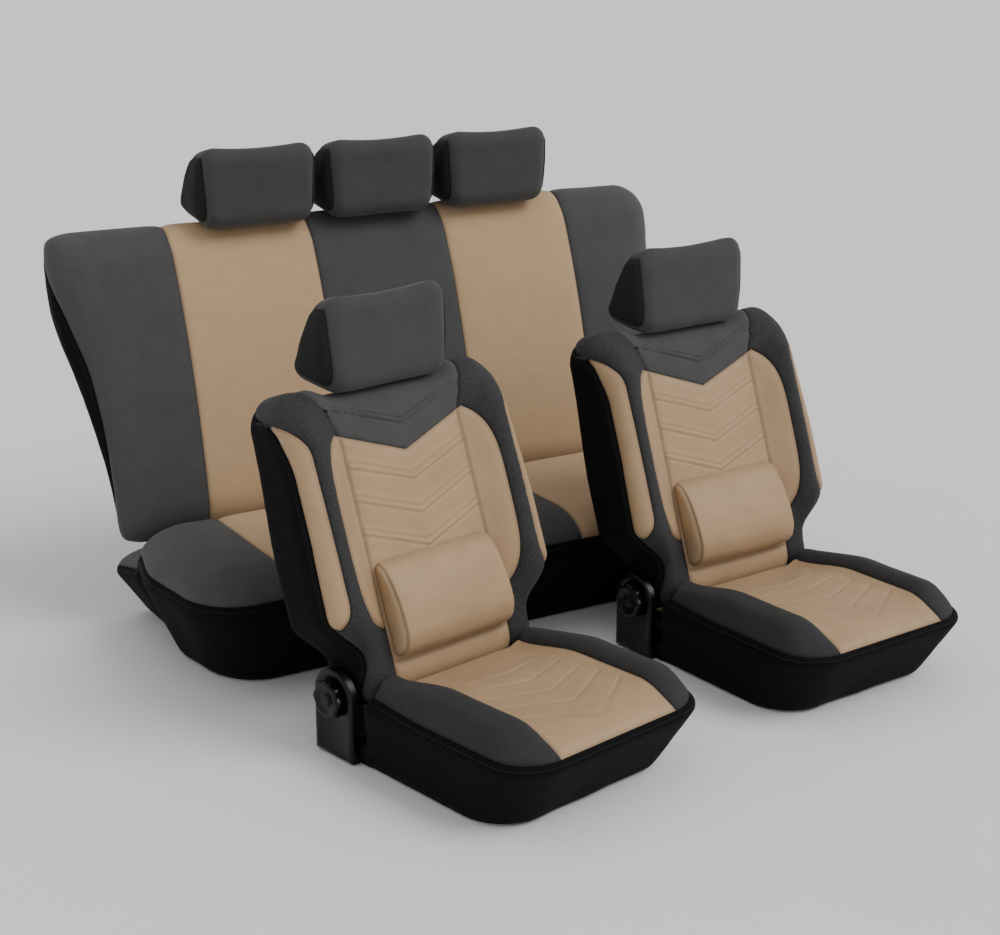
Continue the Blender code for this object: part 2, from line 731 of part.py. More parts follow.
def bench_stripes(prefix, inner):
    """Name, low x, high x and material of the five stripes that run down the back and along the seat."""
    far = BENCH_HALF + 0.1
    return (
        (prefix + "_outer_right", -far, -STRIPE_OUTER, "charcoal"),
        (prefix + "_stripe_right", -STRIPE_OUTER, -inner, "tan"),
        (prefix + "_middle", -inner, inner, "charcoal"),
        (prefix + "_stripe_left", inner, STRIPE_OUTER, "tan"),
        (prefix + "_outer_left", STRIPE_OUTER, far, "charcoal"),
    )


def add_bench_back(seat):
    tilt = add_empty("rear_back_lean", seat, (0, 0, BENCH_BACK_FOOT), (-BENCH_LEAN, 0, 0))
    form = bench_back_form()
    cut_seam(form, lambda co: co.y - bench_rear_seam(co.z))
    cut_seam(form, lambda co: abs(co.x) - STRIPE_OUTER)
    cut_seam(form, lambda co: abs(co.x) - STRIPE_INNER)
    foam = add_object("rear_back_foam", foam_of(form), "foam", tilt)

    def is_front(centre, low, high):
        return centre.y < bench_rear_seam(centre.z) and centre.z > 0.012 and low < centre.x < high

    holed = [foam]
    for name, low, high, material in bench_stripes("rear_back", STRIPE_INNER):
        skin = panel_of(form, lambda c: is_front(c, low, high))
        piece = add_object(name, skin, material, tilt)
        if "stripe" in name or "middle" in name:
            holed.append(piece)
    rear = panel_of(form, lambda c: c.y > bench_rear_seam(c.z) and c.z > 0.012)
    add_object("rear_back_cover", rear, "black_fabric", tilt)
    form.free()
    for word, x in BENCH_HEADREST_X.items():
        entry = BENCH_POST_ENTRY + Vector((x, 0, 0))
        slide = add_empty(f"rear_{word}_headrest_slide", tilt, entry)
        add_headrest(f"rear_{word}_", slide, BENCH_HEADREST, False)
        for side in (-1, 1):
            post = entry + Vector((side * POST_X, POST_Y, 0))
            low, high = post - Vector((0, 0, POST_DROP + 0.01)), post + Vector((0, 0, 0.05))
            for piece in holed:
                if piece is foam or is_over(piece, post.x):
                    combine(piece, cylinder_mesh(POST_HOLE, low, high), "DIFFERENCE")


def is_over(piece, x):
    """Whether a piece's width takes in this place and the hole around it."""
    places = [vert.co.x for vert in piece.data.vertices]
    return min(places) - POST_HOLE < x < max(places) + POST_HOLE


def under_back(y):
    """The share of its height that the bench cushion keeps, less and less under the backrest."""
    fall = 0.055 * ease(y, -0.035, 0.005) + 0.30 * max(y, 0.0)
    return 1 - fall / BENCH_CUSHION_TOP


def bench_skirt_seam(y):
    return BENCH_SEAM * under_back(y)


def bench_cushion_shape(co):
    """A crowned seat that falls away under the backrest, over a skirt that draws in to its hem."""
    low = min(max((0.17 - co.z) / 0.17, 0.0), 1.0)
    y = co.y + 0.062 * low * (1 - ease(co.y, -0.36, -0.12))
    x = co.x * (1 - 0.10 * low) * (1 - 0.04 * ease(co.y, -0.05, BENCH_CUSHION_FRONT))
    x *= 1 - 0.055 * ease(co.y, -0.20, 0.0)
    return Vector((x, y, co.z * under_back(co.y) if co.z > 0 else co.z))


def add_bench_cushion(seat):
    form = block(
        Vector((-BENCH_CUSHION_HALF, BENCH_CUSHION_FRONT, -0.080)),
        Vector((BENCH_CUSHION_HALF, 0.300, BENCH_CUSHION_TOP)),
        (0.120, 0.120, 0.070),
        (
            (-STRIPE_OUTER, -CUSHION_STRIPE_INNER, CUSHION_STRIPE_INNER, STRIPE_OUTER),
            (-0.22, -0.12, -0.035, -0.015, 0.005, 0.06),
            (0.10,),
        ),
        bench_cushion_shape,
        corner_steps=2,
    )
    slice_flat(form, (0, BENCH_CUSHION_REAR, 0), (0, 1, 0))
    slice_flat(form, (0, 0, HEM), (0, 0, -1))
    cut_seam(form, lambda co: co.z - bench_skirt_seam(co.y))
    cut_seam(form, lambda co: abs(co.x) - STRIPE_OUTER)
    cut_seam(form, lambda co: abs(co.x) - CUSHION_STRIPE_INNER)
    foam = foam_of(form)
    slice_flat(foam, (0, 0, RISER_HEIGHT + GAP), (0, 0, -1))
    add_object("rear_cushion_foam", foam, "foam", seat)

    def is_skin(centre):
        return centre.y < BENCH_CUSHION_REAR - 0.001 and centre.z > HEM + 0.001

    def is_top(centre, low, high):
        return is_skin(centre) and centre.z > bench_skirt_seam(centre.y) and low < centre.x < high

    for name, low, high, material in bench_stripes("rear_cushion", CUSHION_STRIPE_INNER):
        add_object(name, panel_of(form, lambda c: is_top(c, low, high)), material, seat)
    skirt = panel_of(form, lambda c: is_skin(c) and c.z < bench_skirt_seam(c.y))
    add_object("rear_cushion_skirt", skirt, "black_fabric", seat)
    form.free()


def add_bench():
    x, y, turn = BENCH_PLACE
    seat = add_empty("rear_seat", None, Vector((x, y, 0)) + SHIFT, (0, 0, turn))
    riser = box_mesh((-RISER_HALF, RISER_FRONT, 0), (RISER_HALF, RISER_REAR, RISER_HEIGHT))
    bmesh.ops.bevel(riser, geom=riser.edges[:], offset=0.008, segments=1, affect="EDGES")
    add_object("rear_seat_base", riser, "steel", seat, smooth=False)
    add_bench_cushion(seat)
    add_bench_back(seat)


clear_scene()
SET = collection_named("seat_cover_set")
CUTTERS = collection_named("cutters")
MATERIALS = {name: make_material(name) for name in COLOURS}
add_front_seat("front_right_", FRONT_RIGHT_PLACE)
add_front_seat("front_left_", FRONT_LEFT_PLACE)
add_bench()
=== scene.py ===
import json
from math import atan2, ceil, cos, pi, radians, sin

import bmesh
import bpy
import numpy as np
from mathutils import Matrix, Vector, noise
from mathutils.kdtree import KDTree


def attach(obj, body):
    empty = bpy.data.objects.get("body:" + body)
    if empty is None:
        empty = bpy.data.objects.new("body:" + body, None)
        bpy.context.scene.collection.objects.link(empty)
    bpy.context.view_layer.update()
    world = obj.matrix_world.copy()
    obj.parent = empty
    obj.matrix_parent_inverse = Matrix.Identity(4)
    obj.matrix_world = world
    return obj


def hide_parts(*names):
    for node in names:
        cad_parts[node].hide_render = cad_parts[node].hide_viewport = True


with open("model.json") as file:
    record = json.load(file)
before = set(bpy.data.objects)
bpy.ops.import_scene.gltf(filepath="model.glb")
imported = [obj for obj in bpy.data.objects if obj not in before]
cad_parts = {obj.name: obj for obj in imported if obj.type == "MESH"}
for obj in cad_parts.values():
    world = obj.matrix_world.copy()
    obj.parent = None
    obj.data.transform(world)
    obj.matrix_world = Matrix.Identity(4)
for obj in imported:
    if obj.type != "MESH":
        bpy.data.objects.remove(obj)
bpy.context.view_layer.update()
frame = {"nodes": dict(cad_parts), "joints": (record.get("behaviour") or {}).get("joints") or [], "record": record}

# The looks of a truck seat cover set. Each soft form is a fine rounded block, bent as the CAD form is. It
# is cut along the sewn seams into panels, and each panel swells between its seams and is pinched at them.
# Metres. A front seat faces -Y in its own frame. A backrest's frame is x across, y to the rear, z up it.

JOINTS = {joint["name"]: joint for joint in frame["joints"]}
MOUNTS = {mount["name"]: mount for mount in frame["record"]["mounts"]}

# Front backrest
PIVOT_HEIGHT = 0.125
FRONT_LEAN = radians(20)
BACK_LOW = np.array((-0.285, -0.085, -0.030))
BACK_HIGH = np.array((0.285, 0.050, 0.577))
BACK_RADII = np.array((0.060, 0.045, 0.060))
BACK_WAIST_HALF = 0.2175
BOLSTER_RISE = 0.043
CENTRE_DIP = 0.018
SHOULDER_DRAW = 0.015
FLARE_HEIGHTS = (0.058, 0.155)
SHOULDER_HEIGHTS = (0.25, 0.50)
BOLSTER_CREST = 0.235
DIP_EDGE = (0.13, 0.18)
INSERT_HALF = 0.147
WING_REACH = 0.059
WING_MIDDLE = 0.295
WING_HALF_HEIGHT = 0.190
V_TIP = 0.424
V_SLOPE = 0.36
STRIP_X = 0.243
STRIP_BOTTOM = 0.100
STRIP_TOP = 0.535
STRIP_CORNER = 0.05
LOWER_SEAM = 0.036
REAR_SEAM = (  # height, how far to the rear
    (-0.015, -0.035),
    (0.03, -0.074),
    (0.12, -0.090),
    (0.30, -0.095),
    (0.44, -0.084),
    (0.52, -0.052),
    (0.56, 0.032),
)
REAR_SEAM_LIMIT = 0.075
CHEVRONS = ((0.370, 0.420), (0.303, 0.355), (0.238, 0.290))  # height of the point, height at the ends
CHEVRON_HALF = 0.145
CHEVRON_BAND = 0.0062
LINE_WIDTH = 0.0020
YOKE_RIB = (0.480, 0.530)
YOKE_BAND = 0.0045
YOKE_HALF = 0.150

# Lumbar pad
LUMBAR_HALF = 0.150
LUMBAR_BOTTOM = 0.045
LUMBAR_TOP = 0.228
LUMBAR_DEPTH = 0.046
LUMBAR_FULLEST = 0.095
LUMBAR_BACK = BACK_LOW[1] - 0.0045
LUMBAR_GUSSET = 0.1385

# Front cushion
CUSHION_LOW = np.array((-0.250, -0.530, -0.060))
CUSHION_HIGH = np.array((0.250, 0.170, 0.175))
CUSHION_RADII = np.array((0.100, 0.100, 0.045))
CUSHION_REAR = -0.088
SHELF_STEP = 0.005
SHELF_REAR = 0.060
SHELF_TOP = 0.0605
SHELF_HALF = 0.2275
EAR_INSIDE = 0.205
CUSHION_FOAM_BOTTOM = 0.060
SKIRT_SEAM = 0.152
QUILT_LINES = (  # y of the point, half-width and y of the two ends
    (-0.226, 0.100, -0.200),
    (-0.283, 0.114, -0.247),
    (-0.340, 0.123, -0.293),
    (-0.400, 0.134, -0.335),
    (-0.468, 0.142, -0.383),
)
HEM = 0.003

# Headrest, from the point where its posts enter the seat. The corners are (y, z).
FRONT_HEADREST = {
    "half": 0.156,
    "front_bottom": np.array((-0.100, -0.038)),
    "front_top": np.array((-0.152, 0.150)),
    "rear_top": np.array((-0.103, 0.157)),
    "rear_bottom": np.array((0.046, 0.034)),
}
BENCH_HEADREST = {
    "half": 0.146,
    "front_bottom": np.array((-0.100, -0.036)),
    "front_top": np.array((-0.150, 0.150)),
    "rear_top": np.array((-0.078, 0.157)),
    "rear_bottom": np.array((0.080, 0.044)),
}
HEADREST_BLOCK = np.array((0.0, 0.055, 0.085))
HEADREST_DIP = 0.010
GUSSET_INSET = 0.016
FRONT_POST_ENTRY = Vector((0.0, 0.005, 0.582))
POST_X, POST_Y, POST_DROP, POST_REACH, POST_RADIUS, POST_BEND = 0.070, -0.030, 0.095, 0.082, 0.006, 0.020

# Recliner
SHIELD_X, SHIELD_THICKNESS, SHIELD_RADIUS, SHIELD_FOOT = 0.2285, 0.018, 0.057, 0.004
KNOB_RADIUS, KNOB_THICKNESS, KNOB_LOBES = 0.037, 0.018, 8

# Rear bench
BENCH_LEAN = radians(15)
BENCH_BACK_FOOT = 0.210
BENCH_LOW = np.array((-0.790, 0.0, 0.0))
BENCH_HIGH = np.array((0.790, 0.130, 0.697))
BENCH_CORNER = 0.085
BENCH_RADII = np.array((BENCH_CORNER, 0.055, BENCH_CORNER))
BENCH_WAIST_HALF = 0.742
BENCH_CROWN = 0.030
STRIPE_OUTER = 0.518
BACK_STRIPE_INNER = 0.175
SEAT_STRIPE_INNER = 0.190
BENCH_REAR_SEAM = ((0.0, 0.045), (0.25, 0.010), (0.40, 0.006), (0.55, 0.030), (0.66, 0.090))
SEAT_LOW = np.array((-0.745, -0.445, -0.080))
SEAT_HIGH = np.array((0.745, 0.300, 0.252))
SEAT_RADII = np.array((0.120, 0.120, 0.070))
SEAT_REAR = 0.135
SEAT_SEAM = 0.200
SEAT_FOAM_BOTTOM = 0.088
BENCH_POST_ENTRY = Vector((0.0, 0.055, 0.696))
BENCH_HEADREST_X = {"right": -0.312, "centre": 0.0, "left": 0.312}
BENCH_MOUNT_Y = -0.090

# Sewing
SNAP = 0.3
SEAM_DEPTH = 0.0030
SEAM_WIDTH = 0.0045
CROWN = 0.0030
CROWN_WIDTH = 0.020
TURN_IN = 0.006
FOAM_DEPTH = 0.008
PANEL_FILL = 0.80
PAD_FILL = 0.85
STITCH_LENGTH, STITCH_PITCH, STITCH_WIDTH, STITCH_OFFSET = 0.0036, 0.0048, 0.00065, 0.0045


# Number helpers ------------------------------------------------------------------------------------


def ease(value, start, end):
    """0 at start, 1 at end, smooth between. The two may be in either order."""
    share = np.clip((value - start) / (end - start), 0, 1)
    return share * share * (3 - 2 * share)


def rounded_max(first, second, radius):
    """The greater of two fields, with the corner where they meet rounded off."""
    near = np.maximum(radius - abs(first - second), 0) / radius
    return np.maximum(first, second) + near * near * radius / 4


def smooth_along(points, value, spread=0.02):
    """The reading of a short list of (place, amount) points, with its corners softened."""
    places, amounts = zip(*points)
    return np.mean([np.interp(value + spread * k, places, amounts) for k in (-1, -0.5, 0, 0.5, 1)], axis=0)


def waves(points, size, seed=0.0):
    """Smooth noise from -1 to 1. Size is the width of a ripple, one number or one for each axis."""
    scaled = points / np.array(size) + seed
    return np.array([noise.noise(Vector(place)) for place in scaled])


def ridge(distance, width):
    return np.exp(-((distance / width) ** 2))


# Forms ---------------------------------------------------------------------------------------------


def axis_places(low, high, radius, step, fine):
    """Grid places along one side of a block, with more of them round its edges and in the fine stretch."""
    turns = max(2, round(radius * pi / 4 / step))
    inset = radius * (1 - np.tan(np.linspace(pi / 4, 0, turns + 1)))
    stops = [(low + radius, step), (high - radius, step)]
    if fine:
        start, end, fine_step = fine
        stops = [(low + radius, step), (start, fine_step), (end, step), (high - radius, step)]
    middle = []
    for (start, spacing), (end, _) in zip(stops, stops[1:]):
        count = max(1, ceil((end - start) / spacing))
        middle.append(np.linspace(start, end, count, endpoint=False))
    return np.concatenate([low + inset[:-1], *middle, (high - inset)[::-1]])


def rounded_block(low, high, radii, steps, shape, fine=(None, None, None)):
    """A fine quad grid over a rounded block, bent by shape()."""
    places = [axis_places(*numbers) for numbers in zip(low, high, radii, steps, fine)]
    counts = [len(line) for line in places]
    on_skin = np.zeros(counts, bool)
    for axis in range(3):
        for end in (0, -1):
            np.moveaxis(on_skin, axis, 0)[end] = True
    number = np.full(counts, -1)
    number[on_skin] = np.arange(on_skin.sum())
    points = np.stack([line[index] for line, index in zip(places, np.nonzero(on_skin))], axis=1)
    quads = []
    for axis in range(3):
        for end in (0, -1):
            sheet = np.moveaxis(number, axis, 0)[end]
            corners = (sheet[:-1, :-1], sheet[1:, :-1], sheet[1:, 1:], sheet[:-1, 1:])
            quads.append(np.stack(corners, axis=-1).reshape(-1, 4))
    core = np.clip(points, low + radii, high - radii)
    away = (points - core) / radii
    length = np.maximum(np.linalg.norm(away, axis=1, keepdims=True), 1e-9)
    points = shape(core + away / length * radii)
    mesh = bpy.data.meshes.new("form")
    mesh.from_pydata(points.tolist(), [], np.concatenate(quads).tolist())
    bm = bmesh.new()
    bm.from_mesh(mesh)
    bpy.data.meshes.remove(mesh)
    bmesh.ops.recalc_face_normals(bm, faces=bm.faces)
    return bm


def coordinates(bm):
    return np.array([vert.co for vert in bm.verts])


def trim(bm, place, normal):
    """Cuts away what is past a plane and leaves the cut open."""
    everything = bm.verts[:] + bm.edges[:] + bm.faces[:]
    bmesh.ops.bisect_plane(bm, geom=everything, plane_co=place, plane_no=normal, clear_outer=True)


def cut_seam(bm, field):
    """New edges where the field is zero. A vertex close to the seam moves onto it."""
    bm.verts.index_update()
    bm.edges.ensure_lookup_table()
    values = field(coordinates(bm))
    ends = np.array([(edge.verts[0].index, edge.verts[1].index) for edge in bm.edges])
    crossing = [bm.edges[i] for i in np.nonzero(values[ends[:, 0]] * values[ends[:, 1]] < 0)[0]]
    at = {vert: values[vert.index] for edge in crossing for vert in edge.verts}
    moves = {}
    for edge in crossing:
        for near, far in (tuple(edge.verts), tuple(edge.verts)[::-1]):
            share = at[near] / (at[near] - at[far])
            if share < SNAP:
                moves.setdefault(near, []).append(near.co.lerp(far.co, share))
    for vert, places in moves.items():
        vert.co = sum(places, Vector()) / len(places)
        at[vert] = 0.0
    marked = dict.fromkeys(moves)
    for edge in crossing:
        first, second = edge.verts
        if at[first] * at[second] < 0:
            share = at[first] / (at[first] - at[second])
            fresh = bmesh.utils.edge_split(edge, first, share)[1]
            at[fresh] = 0.0
            marked[fresh] = None
    for face in dict.fromkeys(face for vert in marked for face in vert.link_faces):
        on_seam = [vert for vert in face.verts if vert in marked]
        rest = [at[vert] if vert in at else values[vert.index] for vert in face.verts if vert not in marked]
        if len(on_seam) == 2 and rest and min(rest) < 0 < max(rest):
            bmesh.utils.face_split(face, on_seam[0], on_seam[1])


def seams_at(x):
    """The field of two seams that run lengthwise, this far to either side of the middle."""
    return lambda points: abs(points[:, 0]) - x


class Form:
    """A cut form's points, outward normals, faces and face centres."""

    def __init__(self, bm, fields=()):
        for field in fields:
            cut_seam(bm, field)
        bm.normal_update()
        bm.verts.index_update()
        self.points = coordinates(bm)
        self.normals = np.array([vert.normal for vert in bm.verts])
        self.faces = [tuple(vert.index for vert in face.verts) for face in bm.faces]
        self.centres = np.array([face.calc_center_median() for face in bm.faces])
        bm.free()


def edges_of(faces):
    """Each face edge's two ends, in the face's own direction."""
    return [(a, b) for face in faces for a, b in zip(face, face[1:] + face[:1])]


class Surface:
    """Points and faces on their way to becoming one piece. Face marks pick the material."""

    def __init__(self):
        self.points, self.faces, self.marks, self.near = [], [], [], []

    def add(self, points, faces, mark=0, near=None):
        start = sum(len(part) for part in self.points)
        self.points.append(np.asarray(points))
        self.faces += [tuple(index + start for index in face) for face in faces]
        self.marks += [mark] * len(faces)
        self.near.append(np.full(len(points), 1.0) if near is None else near)

    def mesh(self, name, matrix, materials):
        mesh = bpy.data.meshes.new(name)
        mesh.from_pydata(np.concatenate(self.points).tolist(), [], self.faces)
        for material in materials:
            mesh.materials.append(material)
        mesh.polygons.foreach_set("material_index", self.marks)
        # The seam distance that the materials read to paint shade into the colour near seams and grooves.
        near = mesh.attributes.new("seam_shade_distance", "FLOAT", "POINT")
        near.data.foreach_set("value", np.concatenate(self.near).astype(np.float32))
        mesh.transform(matrix)
        mesh.shade_smooth()
        mesh.set_sharp_from_angle(angle=radians(60))
        return mesh


def distance_to(lines, points):
    """Each point's distance to the nearest of these short lines, read every millimetre along them."""
    spots = []
    for start, end in lines:
        count = max(2, ceil(np.linalg.norm(end - start) / 0.001))
        spots += [start + (end - start) * share for share in np.linspace(0, 1, count)]
    tree = KDTree(len(spots))
    for index, spot in enumerate(spots):
        tree.insert(spot, index)
    tree.balance()
    return np.array([tree.find(point)[2] for point in points])


def sew_panel(surface, form, mask, relief=None, crown=CROWN, stitch=None, pucker=0.0006, grooves=None):
    """Adds the masked faces as one panel: proud in its middle, pinched and puckered at its seams.

    The materials paint shade into the colour near the seams, and grooves() gives lines that get the same painted
    shade as a seam.
    """
    faces = [form.faces[i] for i in np.nonzero(mask)[0]]
    used = np.unique([index for face in faces for index in face])
    place = {old: new for new, old in enumerate(used)}
    faces = [tuple(place[index] for index in face) for face in faces]
    points, normals = form.points[used], form.normals[used]
    directed = set(edges_of(faces))
    rim = [(a, b) for a, b in edges_of(faces) if (b, a) not in directed]
    near = distance_to([(points[a], points[b]) for a, b in rim], points)
    out = crown * (1 - np.exp(-near / CROWN_WIDTH)) - SEAM_DEPTH * np.exp(-near / SEAM_WIDTH)
    out += pucker * waves(points, 0.011) * np.exp(-near / 0.012)
    if relief is not None:
        out += relief(points) * (1 - np.exp(-near / 0.006))
    points = points + normals * out[:, None]
    # Distance to the seams and grooves; the materials paint shade into the colour where it is small.
    painted_shade_distance = near if grooves is None else near * (1 - np.clip(grooves(form.points[used]), 0, 1))
    surface.add(points, faces, 0, painted_shade_distance)
    around = sorted({index for edge in rim for index in edge})
    inner = {index: len(around) + k for k, index in enumerate(around)}
    outer = {index: k for k, index in enumerate(around)}
    turned = np.concatenate([points[around], points[around] - normals[around] * TURN_IN])
    walls = [(outer[b], outer[a], inner[a], inner[b]) for a, b in rim]
    # The turned-in walls count as in the seam, so they get the full painted shade.
    surface.add(turned, walls, 0, np.zeros(len(turned)))
    if stitch:
        for offset in stitch:
            for line in contour(points, normals, faces, near - offset):
                sew_stitches(surface, line)


def sewn(form, mask, *details, **named):
    """One panel as a surface of its own."""
    surface = Surface()
    sew_panel(surface, form, mask, *details, **named)
    return surface


def contour(points, normals, faces, values):
    """The lines on a surface where values is zero, each a list of (place, normal)."""
    links = {}
    above = values > 0
    for face in faces:
        marks = [(min(a, b), max(a, b)) for a, b in zip(face, face[1:] + face[:1]) if above[a] != above[b]]
        if len(marks) == 2:
            links.setdefault(marks[0], []).append(marks[1])
            links.setdefault(marks[1], []).append(marks[0])

    def spot(mark):
        a, b = mark
        share = values[a] / (values[a] - values[b])
        return points[a] + (points[b] - points[a]) * share, normals[a] + (normals[b] - normals[a]) * share

    lines, seen = [], set()
    for start in sorted(links, key=lambda mark: len(links[mark])):
        if start in seen:
            continue
        line, current = [], start
        while current is not None:
            seen.add(current)
            line.append(spot(current))
            current = next((mark for mark in links[current] if mark not in seen), None)
        lines.append(line)
    return lines


def sew_stitches(surface, line):
    """Thread stitches, one after another along a line of (place, normal)."""
    if len(line) < 4:
        return
    places = np.array([place for place, _ in line])
    normals = np.array([normal for _, normal in line])
    travelled = np.concatenate([[0], np.cumsum(np.linalg.norm(np.diff(places, axis=0), axis=1))])
    if travelled[-1] < 4 * STITCH_PITCH:
        return
    starts = np.arange(0, travelled[-1] - STITCH_LENGTH, STITCH_PITCH)

    def at(table, distance):
        return np.stack([np.interp(distance, travelled, column) for column in table.T], axis=1)

    first, last = at(places, starts), at(places, starts + STITCH_LENGTH)
    up = at(normals, starts + STITCH_LENGTH / 2)
    up /= np.linalg.norm(up, axis=1, keepdims=True)
    middle = (first + last) / 2
    side = np.cross(up, last - first)
    side *= STITCH_WIDTH / np.maximum(np.linalg.norm(side, axis=1, keepdims=True), 1e-9)
    sunk = up * STITCH_WIDTH * 0.6
    corners = (first - sunk, last - sunk, middle + side, middle - side, middle + 2 * sunk, middle - sunk)
    points = np.stack(corners, axis=1).reshape(-1, 3)
    shape = ((0, 2, 4), (2, 1, 4), (1, 3, 4), (3, 0, 4), (2, 0, 5), (1, 2, 5), (3, 1, 5), (0, 3, 5))
    faces = [tuple(index + 6 * k for index in face) for k in range(len(starts)) for face in shape]
    surface.add(points, faces, 1)


# Materials -----------------------------------------------------------------------------------------


class Recipe:
    """A material's node tree, built up a node at a time."""

    def __init__(self, name):
        self.material = bpy.data.materials.new(name)
        self.material.use_nodes = True
        self.tree = self.material.node_tree
        self.shader = self.tree.nodes["Principled BSDF"]
        self.place = self.node("ShaderNodeTexCoord").outputs["Object"]

    def node(self, kind, **settings):
        made = self.tree.nodes.new(kind)
        for name, value in settings.items():
            setattr(made, name, value)
        return made

    def put(self, socket, value):
        if isinstance(value, bpy.types.NodeSocket):
            self.tree.links.new(value, socket)
        else:
            socket.default_value = value

    def noise(self, size, detail=3.0, roughness=0.55, distortion=0.0):
        made = self.node("ShaderNodeTexNoise")
        self.put(made.inputs["Vector"], self.place)
        made.inputs["Scale"].default_value = 1 / size
        made.inputs["Detail"].default_value = detail
        made.inputs["Roughness"].default_value = roughness
        made.inputs["Distortion"].default_value = distortion
        return made.outputs["Fac"]

    def cells(self, size, feature="F1", vector=None):
        made = self.node("ShaderNodeTexVoronoi", feature=feature)
        self.put(made.inputs["Vector"], vector or self.place)
        made.inputs["Scale"].default_value = 1 / size
        return made.outputs["Distance"]

    def math(self, operation, first, second=0.0):
        made = self.node("ShaderNodeMath", operation=operation)
        self.put(made.inputs[0], first)
        self.put(made.inputs[1], second)
        return made.outputs[0]

    def spread(self, value, low, high, to_low=0.0, to_high=1.0):
        made = self.node("ShaderNodeMapRange")
        numbers = {"From Min": low, "From Max": high, "To Min": to_low, "To Max": to_high}
        for name, number in numbers.items():
            made.inputs[name].default_value = number
        self.put(made.inputs["Value"], value)
        return made.outputs["Result"]

    def mix(self, share, first, second):
        made = self.node("ShaderNodeMix", data_type="RGBA")
        self.put(made.inputs["Factor"], share)
        self.put(made.inputs["A"], first)
        self.put(made.inputs["B"], second)
        return made.outputs["Result"]

    def sines(self, pitch):
        """Threads over and under each other: a product of waves along the three axes."""
        split = self.node("ShaderNodeSeparateXYZ")
        self.put(split.inputs[0], self.place)
        total = None
        for name, shift in (("X", 0.0), ("Y", 1.1), ("Z", 2.3)):
            turns = self.math("MULTIPLY", split.outputs[name], 2 * pi / pitch)
            wave = self.math("SINE", self.math("ADD", turns, shift))
            total = wave if total is None else self.math("ADD", total, wave)
        return self.spread(total, -3.0, 3.0)

    def bump(self, height, distance, strength=1.0, below=None):
        made = self.node("ShaderNodeBump")
        made.inputs["Distance"].default_value = distance
        made.inputs["Strength"].default_value = strength
        self.put(made.inputs["Height"], height)
        if below is not None:
            self.put(made.inputs["Normal"], below)
        return made.outputs["Normal"]

    def seam_share(self, reach):
        """The share of painted seam shade: 1 in a seam, 0 at this distance from it and beyond."""
        made = self.node("ShaderNodeAttribute", attribute_name="seam_shade_distance")
        return self.spread(made.outputs["Fac"], 0.0, reach, 1.0, 0.0)

    def paint_seam_shade(self, colours, reach, strength, dark):
        """Painted shade: the colours, mixed towards a dark one in and beside the seams."""
        share = self.math("MULTIPLY", self.seam_share(reach), strength)
        return self.mix(share, colours, dark)

    def finish(self, colour, roughness, normal, sheen=0.0, coat=0.0, metallic=0.0, specular=0.5):
        self.put(self.shader.inputs["Base Color"], colour)
        self.put(self.shader.inputs["Roughness"], roughness)
        self.put(self.shader.inputs["Normal"], normal)
        self.shader.inputs["Sheen Weight"].default_value = sheen
        self.shader.inputs["Sheen Roughness"].default_value = 0.6
        self.shader.inputs["Specular IOR Level"].default_value = specular
        self.shader.inputs["Coat Weight"].default_value = coat
        self.shader.inputs["Metallic"].default_value = metallic
        return self.material


def shade(colour, factor):
    return (*(channel * factor for channel in colour), 1.0)


def leatherette(name, colour):
    recipe = Recipe(name)
    mottling = recipe.spread(recipe.noise(0.09, 4.0, 0.6), 0.35, 0.65)
    colours = recipe.mix(mottling, shade(colour, 0.93), shade(colour, 1.06))
    grain = recipe.cells(0.0013, "DISTANCE_TO_EDGE")
    pores = recipe.spread(grain, 0.0, 0.35)
    between = recipe.math("MULTIPLY", recipe.math("SUBTRACT", 1.0, pores), 0.25)
    colours = recipe.mix(between, colours, shade(colour, 0.6))
    # Painted shade: darker in and beside the seams and sewn grooves.
    colours = recipe.paint_seam_shade(colours, 0.007, 0.55, shade(colour, 0.42))
    roughness = recipe.spread(recipe.noise(0.02), 0.3, 0.7, 0.50, 0.64)
    normal = recipe.bump(pores, 0.00012, 0.8)
    normal = recipe.bump(recipe.noise(0.012, 3.0), 0.0006, 0.5, normal)
    return recipe.finish(colours, roughness, normal, sheen=0.05)


def suede_cloth(name, colour, mottling, sheen=0.10):
    """A short-napped cloth: soft mottling where the nap lies this way or that, and a fine fibre texture."""
    recipe = Recipe(name)
    nap = recipe.spread(recipe.noise(0.05, 5.0, 0.65, 0.6), 0.32, 0.68)
    colours = recipe.mix(nap, shade(colour, 1 - mottling), shade(colour, 1 + mottling))
    fibre = recipe.noise(0.0009, 4.0, 0.7)
    colours = recipe.mix(recipe.spread(fibre, 0.35, 0.65, 0.0, 0.35), colours, shade(colour, 1.6))
    # Painted shade: darker in and beside the seams and sewn grooves.
    colours = recipe.paint_seam_shade(colours, 0.006, 0.6, shade(colour, 0.35))
    roughness = recipe.spread(fibre, 0.3, 0.7, 0.78, 0.95)
    weave = recipe.sines(0.0012)
    normal = recipe.bump(weave, 0.00015, 0.5)
    normal = recipe.bump(fibre, 0.0003, 0.6, normal)
    normal = recipe.bump(recipe.noise(0.018, 3.0), 0.0008, 0.4, normal)
    return recipe.finish(colours, roughness, normal, sheen=sheen, specular=0.2)


def mesh_cloth(name, colour):
    """An open spacer mesh: rows of small cells with a lighter thread between them."""
    recipe = Recipe(name)
    cells = recipe.spread(recipe.cells(0.0022), 0.15, 0.75)
    colours = recipe.mix(cells, shade(colour, 0.50), shade(colour, 1.60))
    cast = recipe.spread(recipe.noise(0.06, 3.0), 0.35, 0.65)
    colours = recipe.mix(recipe.math("MULTIPLY", cast, 0.25), colours, (0.045, 0.046, 0.048, 1.0))
    # Painted shade: darker in and beside the seams and sewn grooves.
    colours = recipe.paint_seam_shade(colours, 0.006, 0.6, shade(colour, 0.3))
    normal = recipe.bump(cells, 0.0005, 0.7)
    roughness = recipe.spread(cells, 0.0, 1.0, 0.85, 0.6)
    return recipe.finish(colours, roughness, normal, sheen=0.04, specular=0.2)


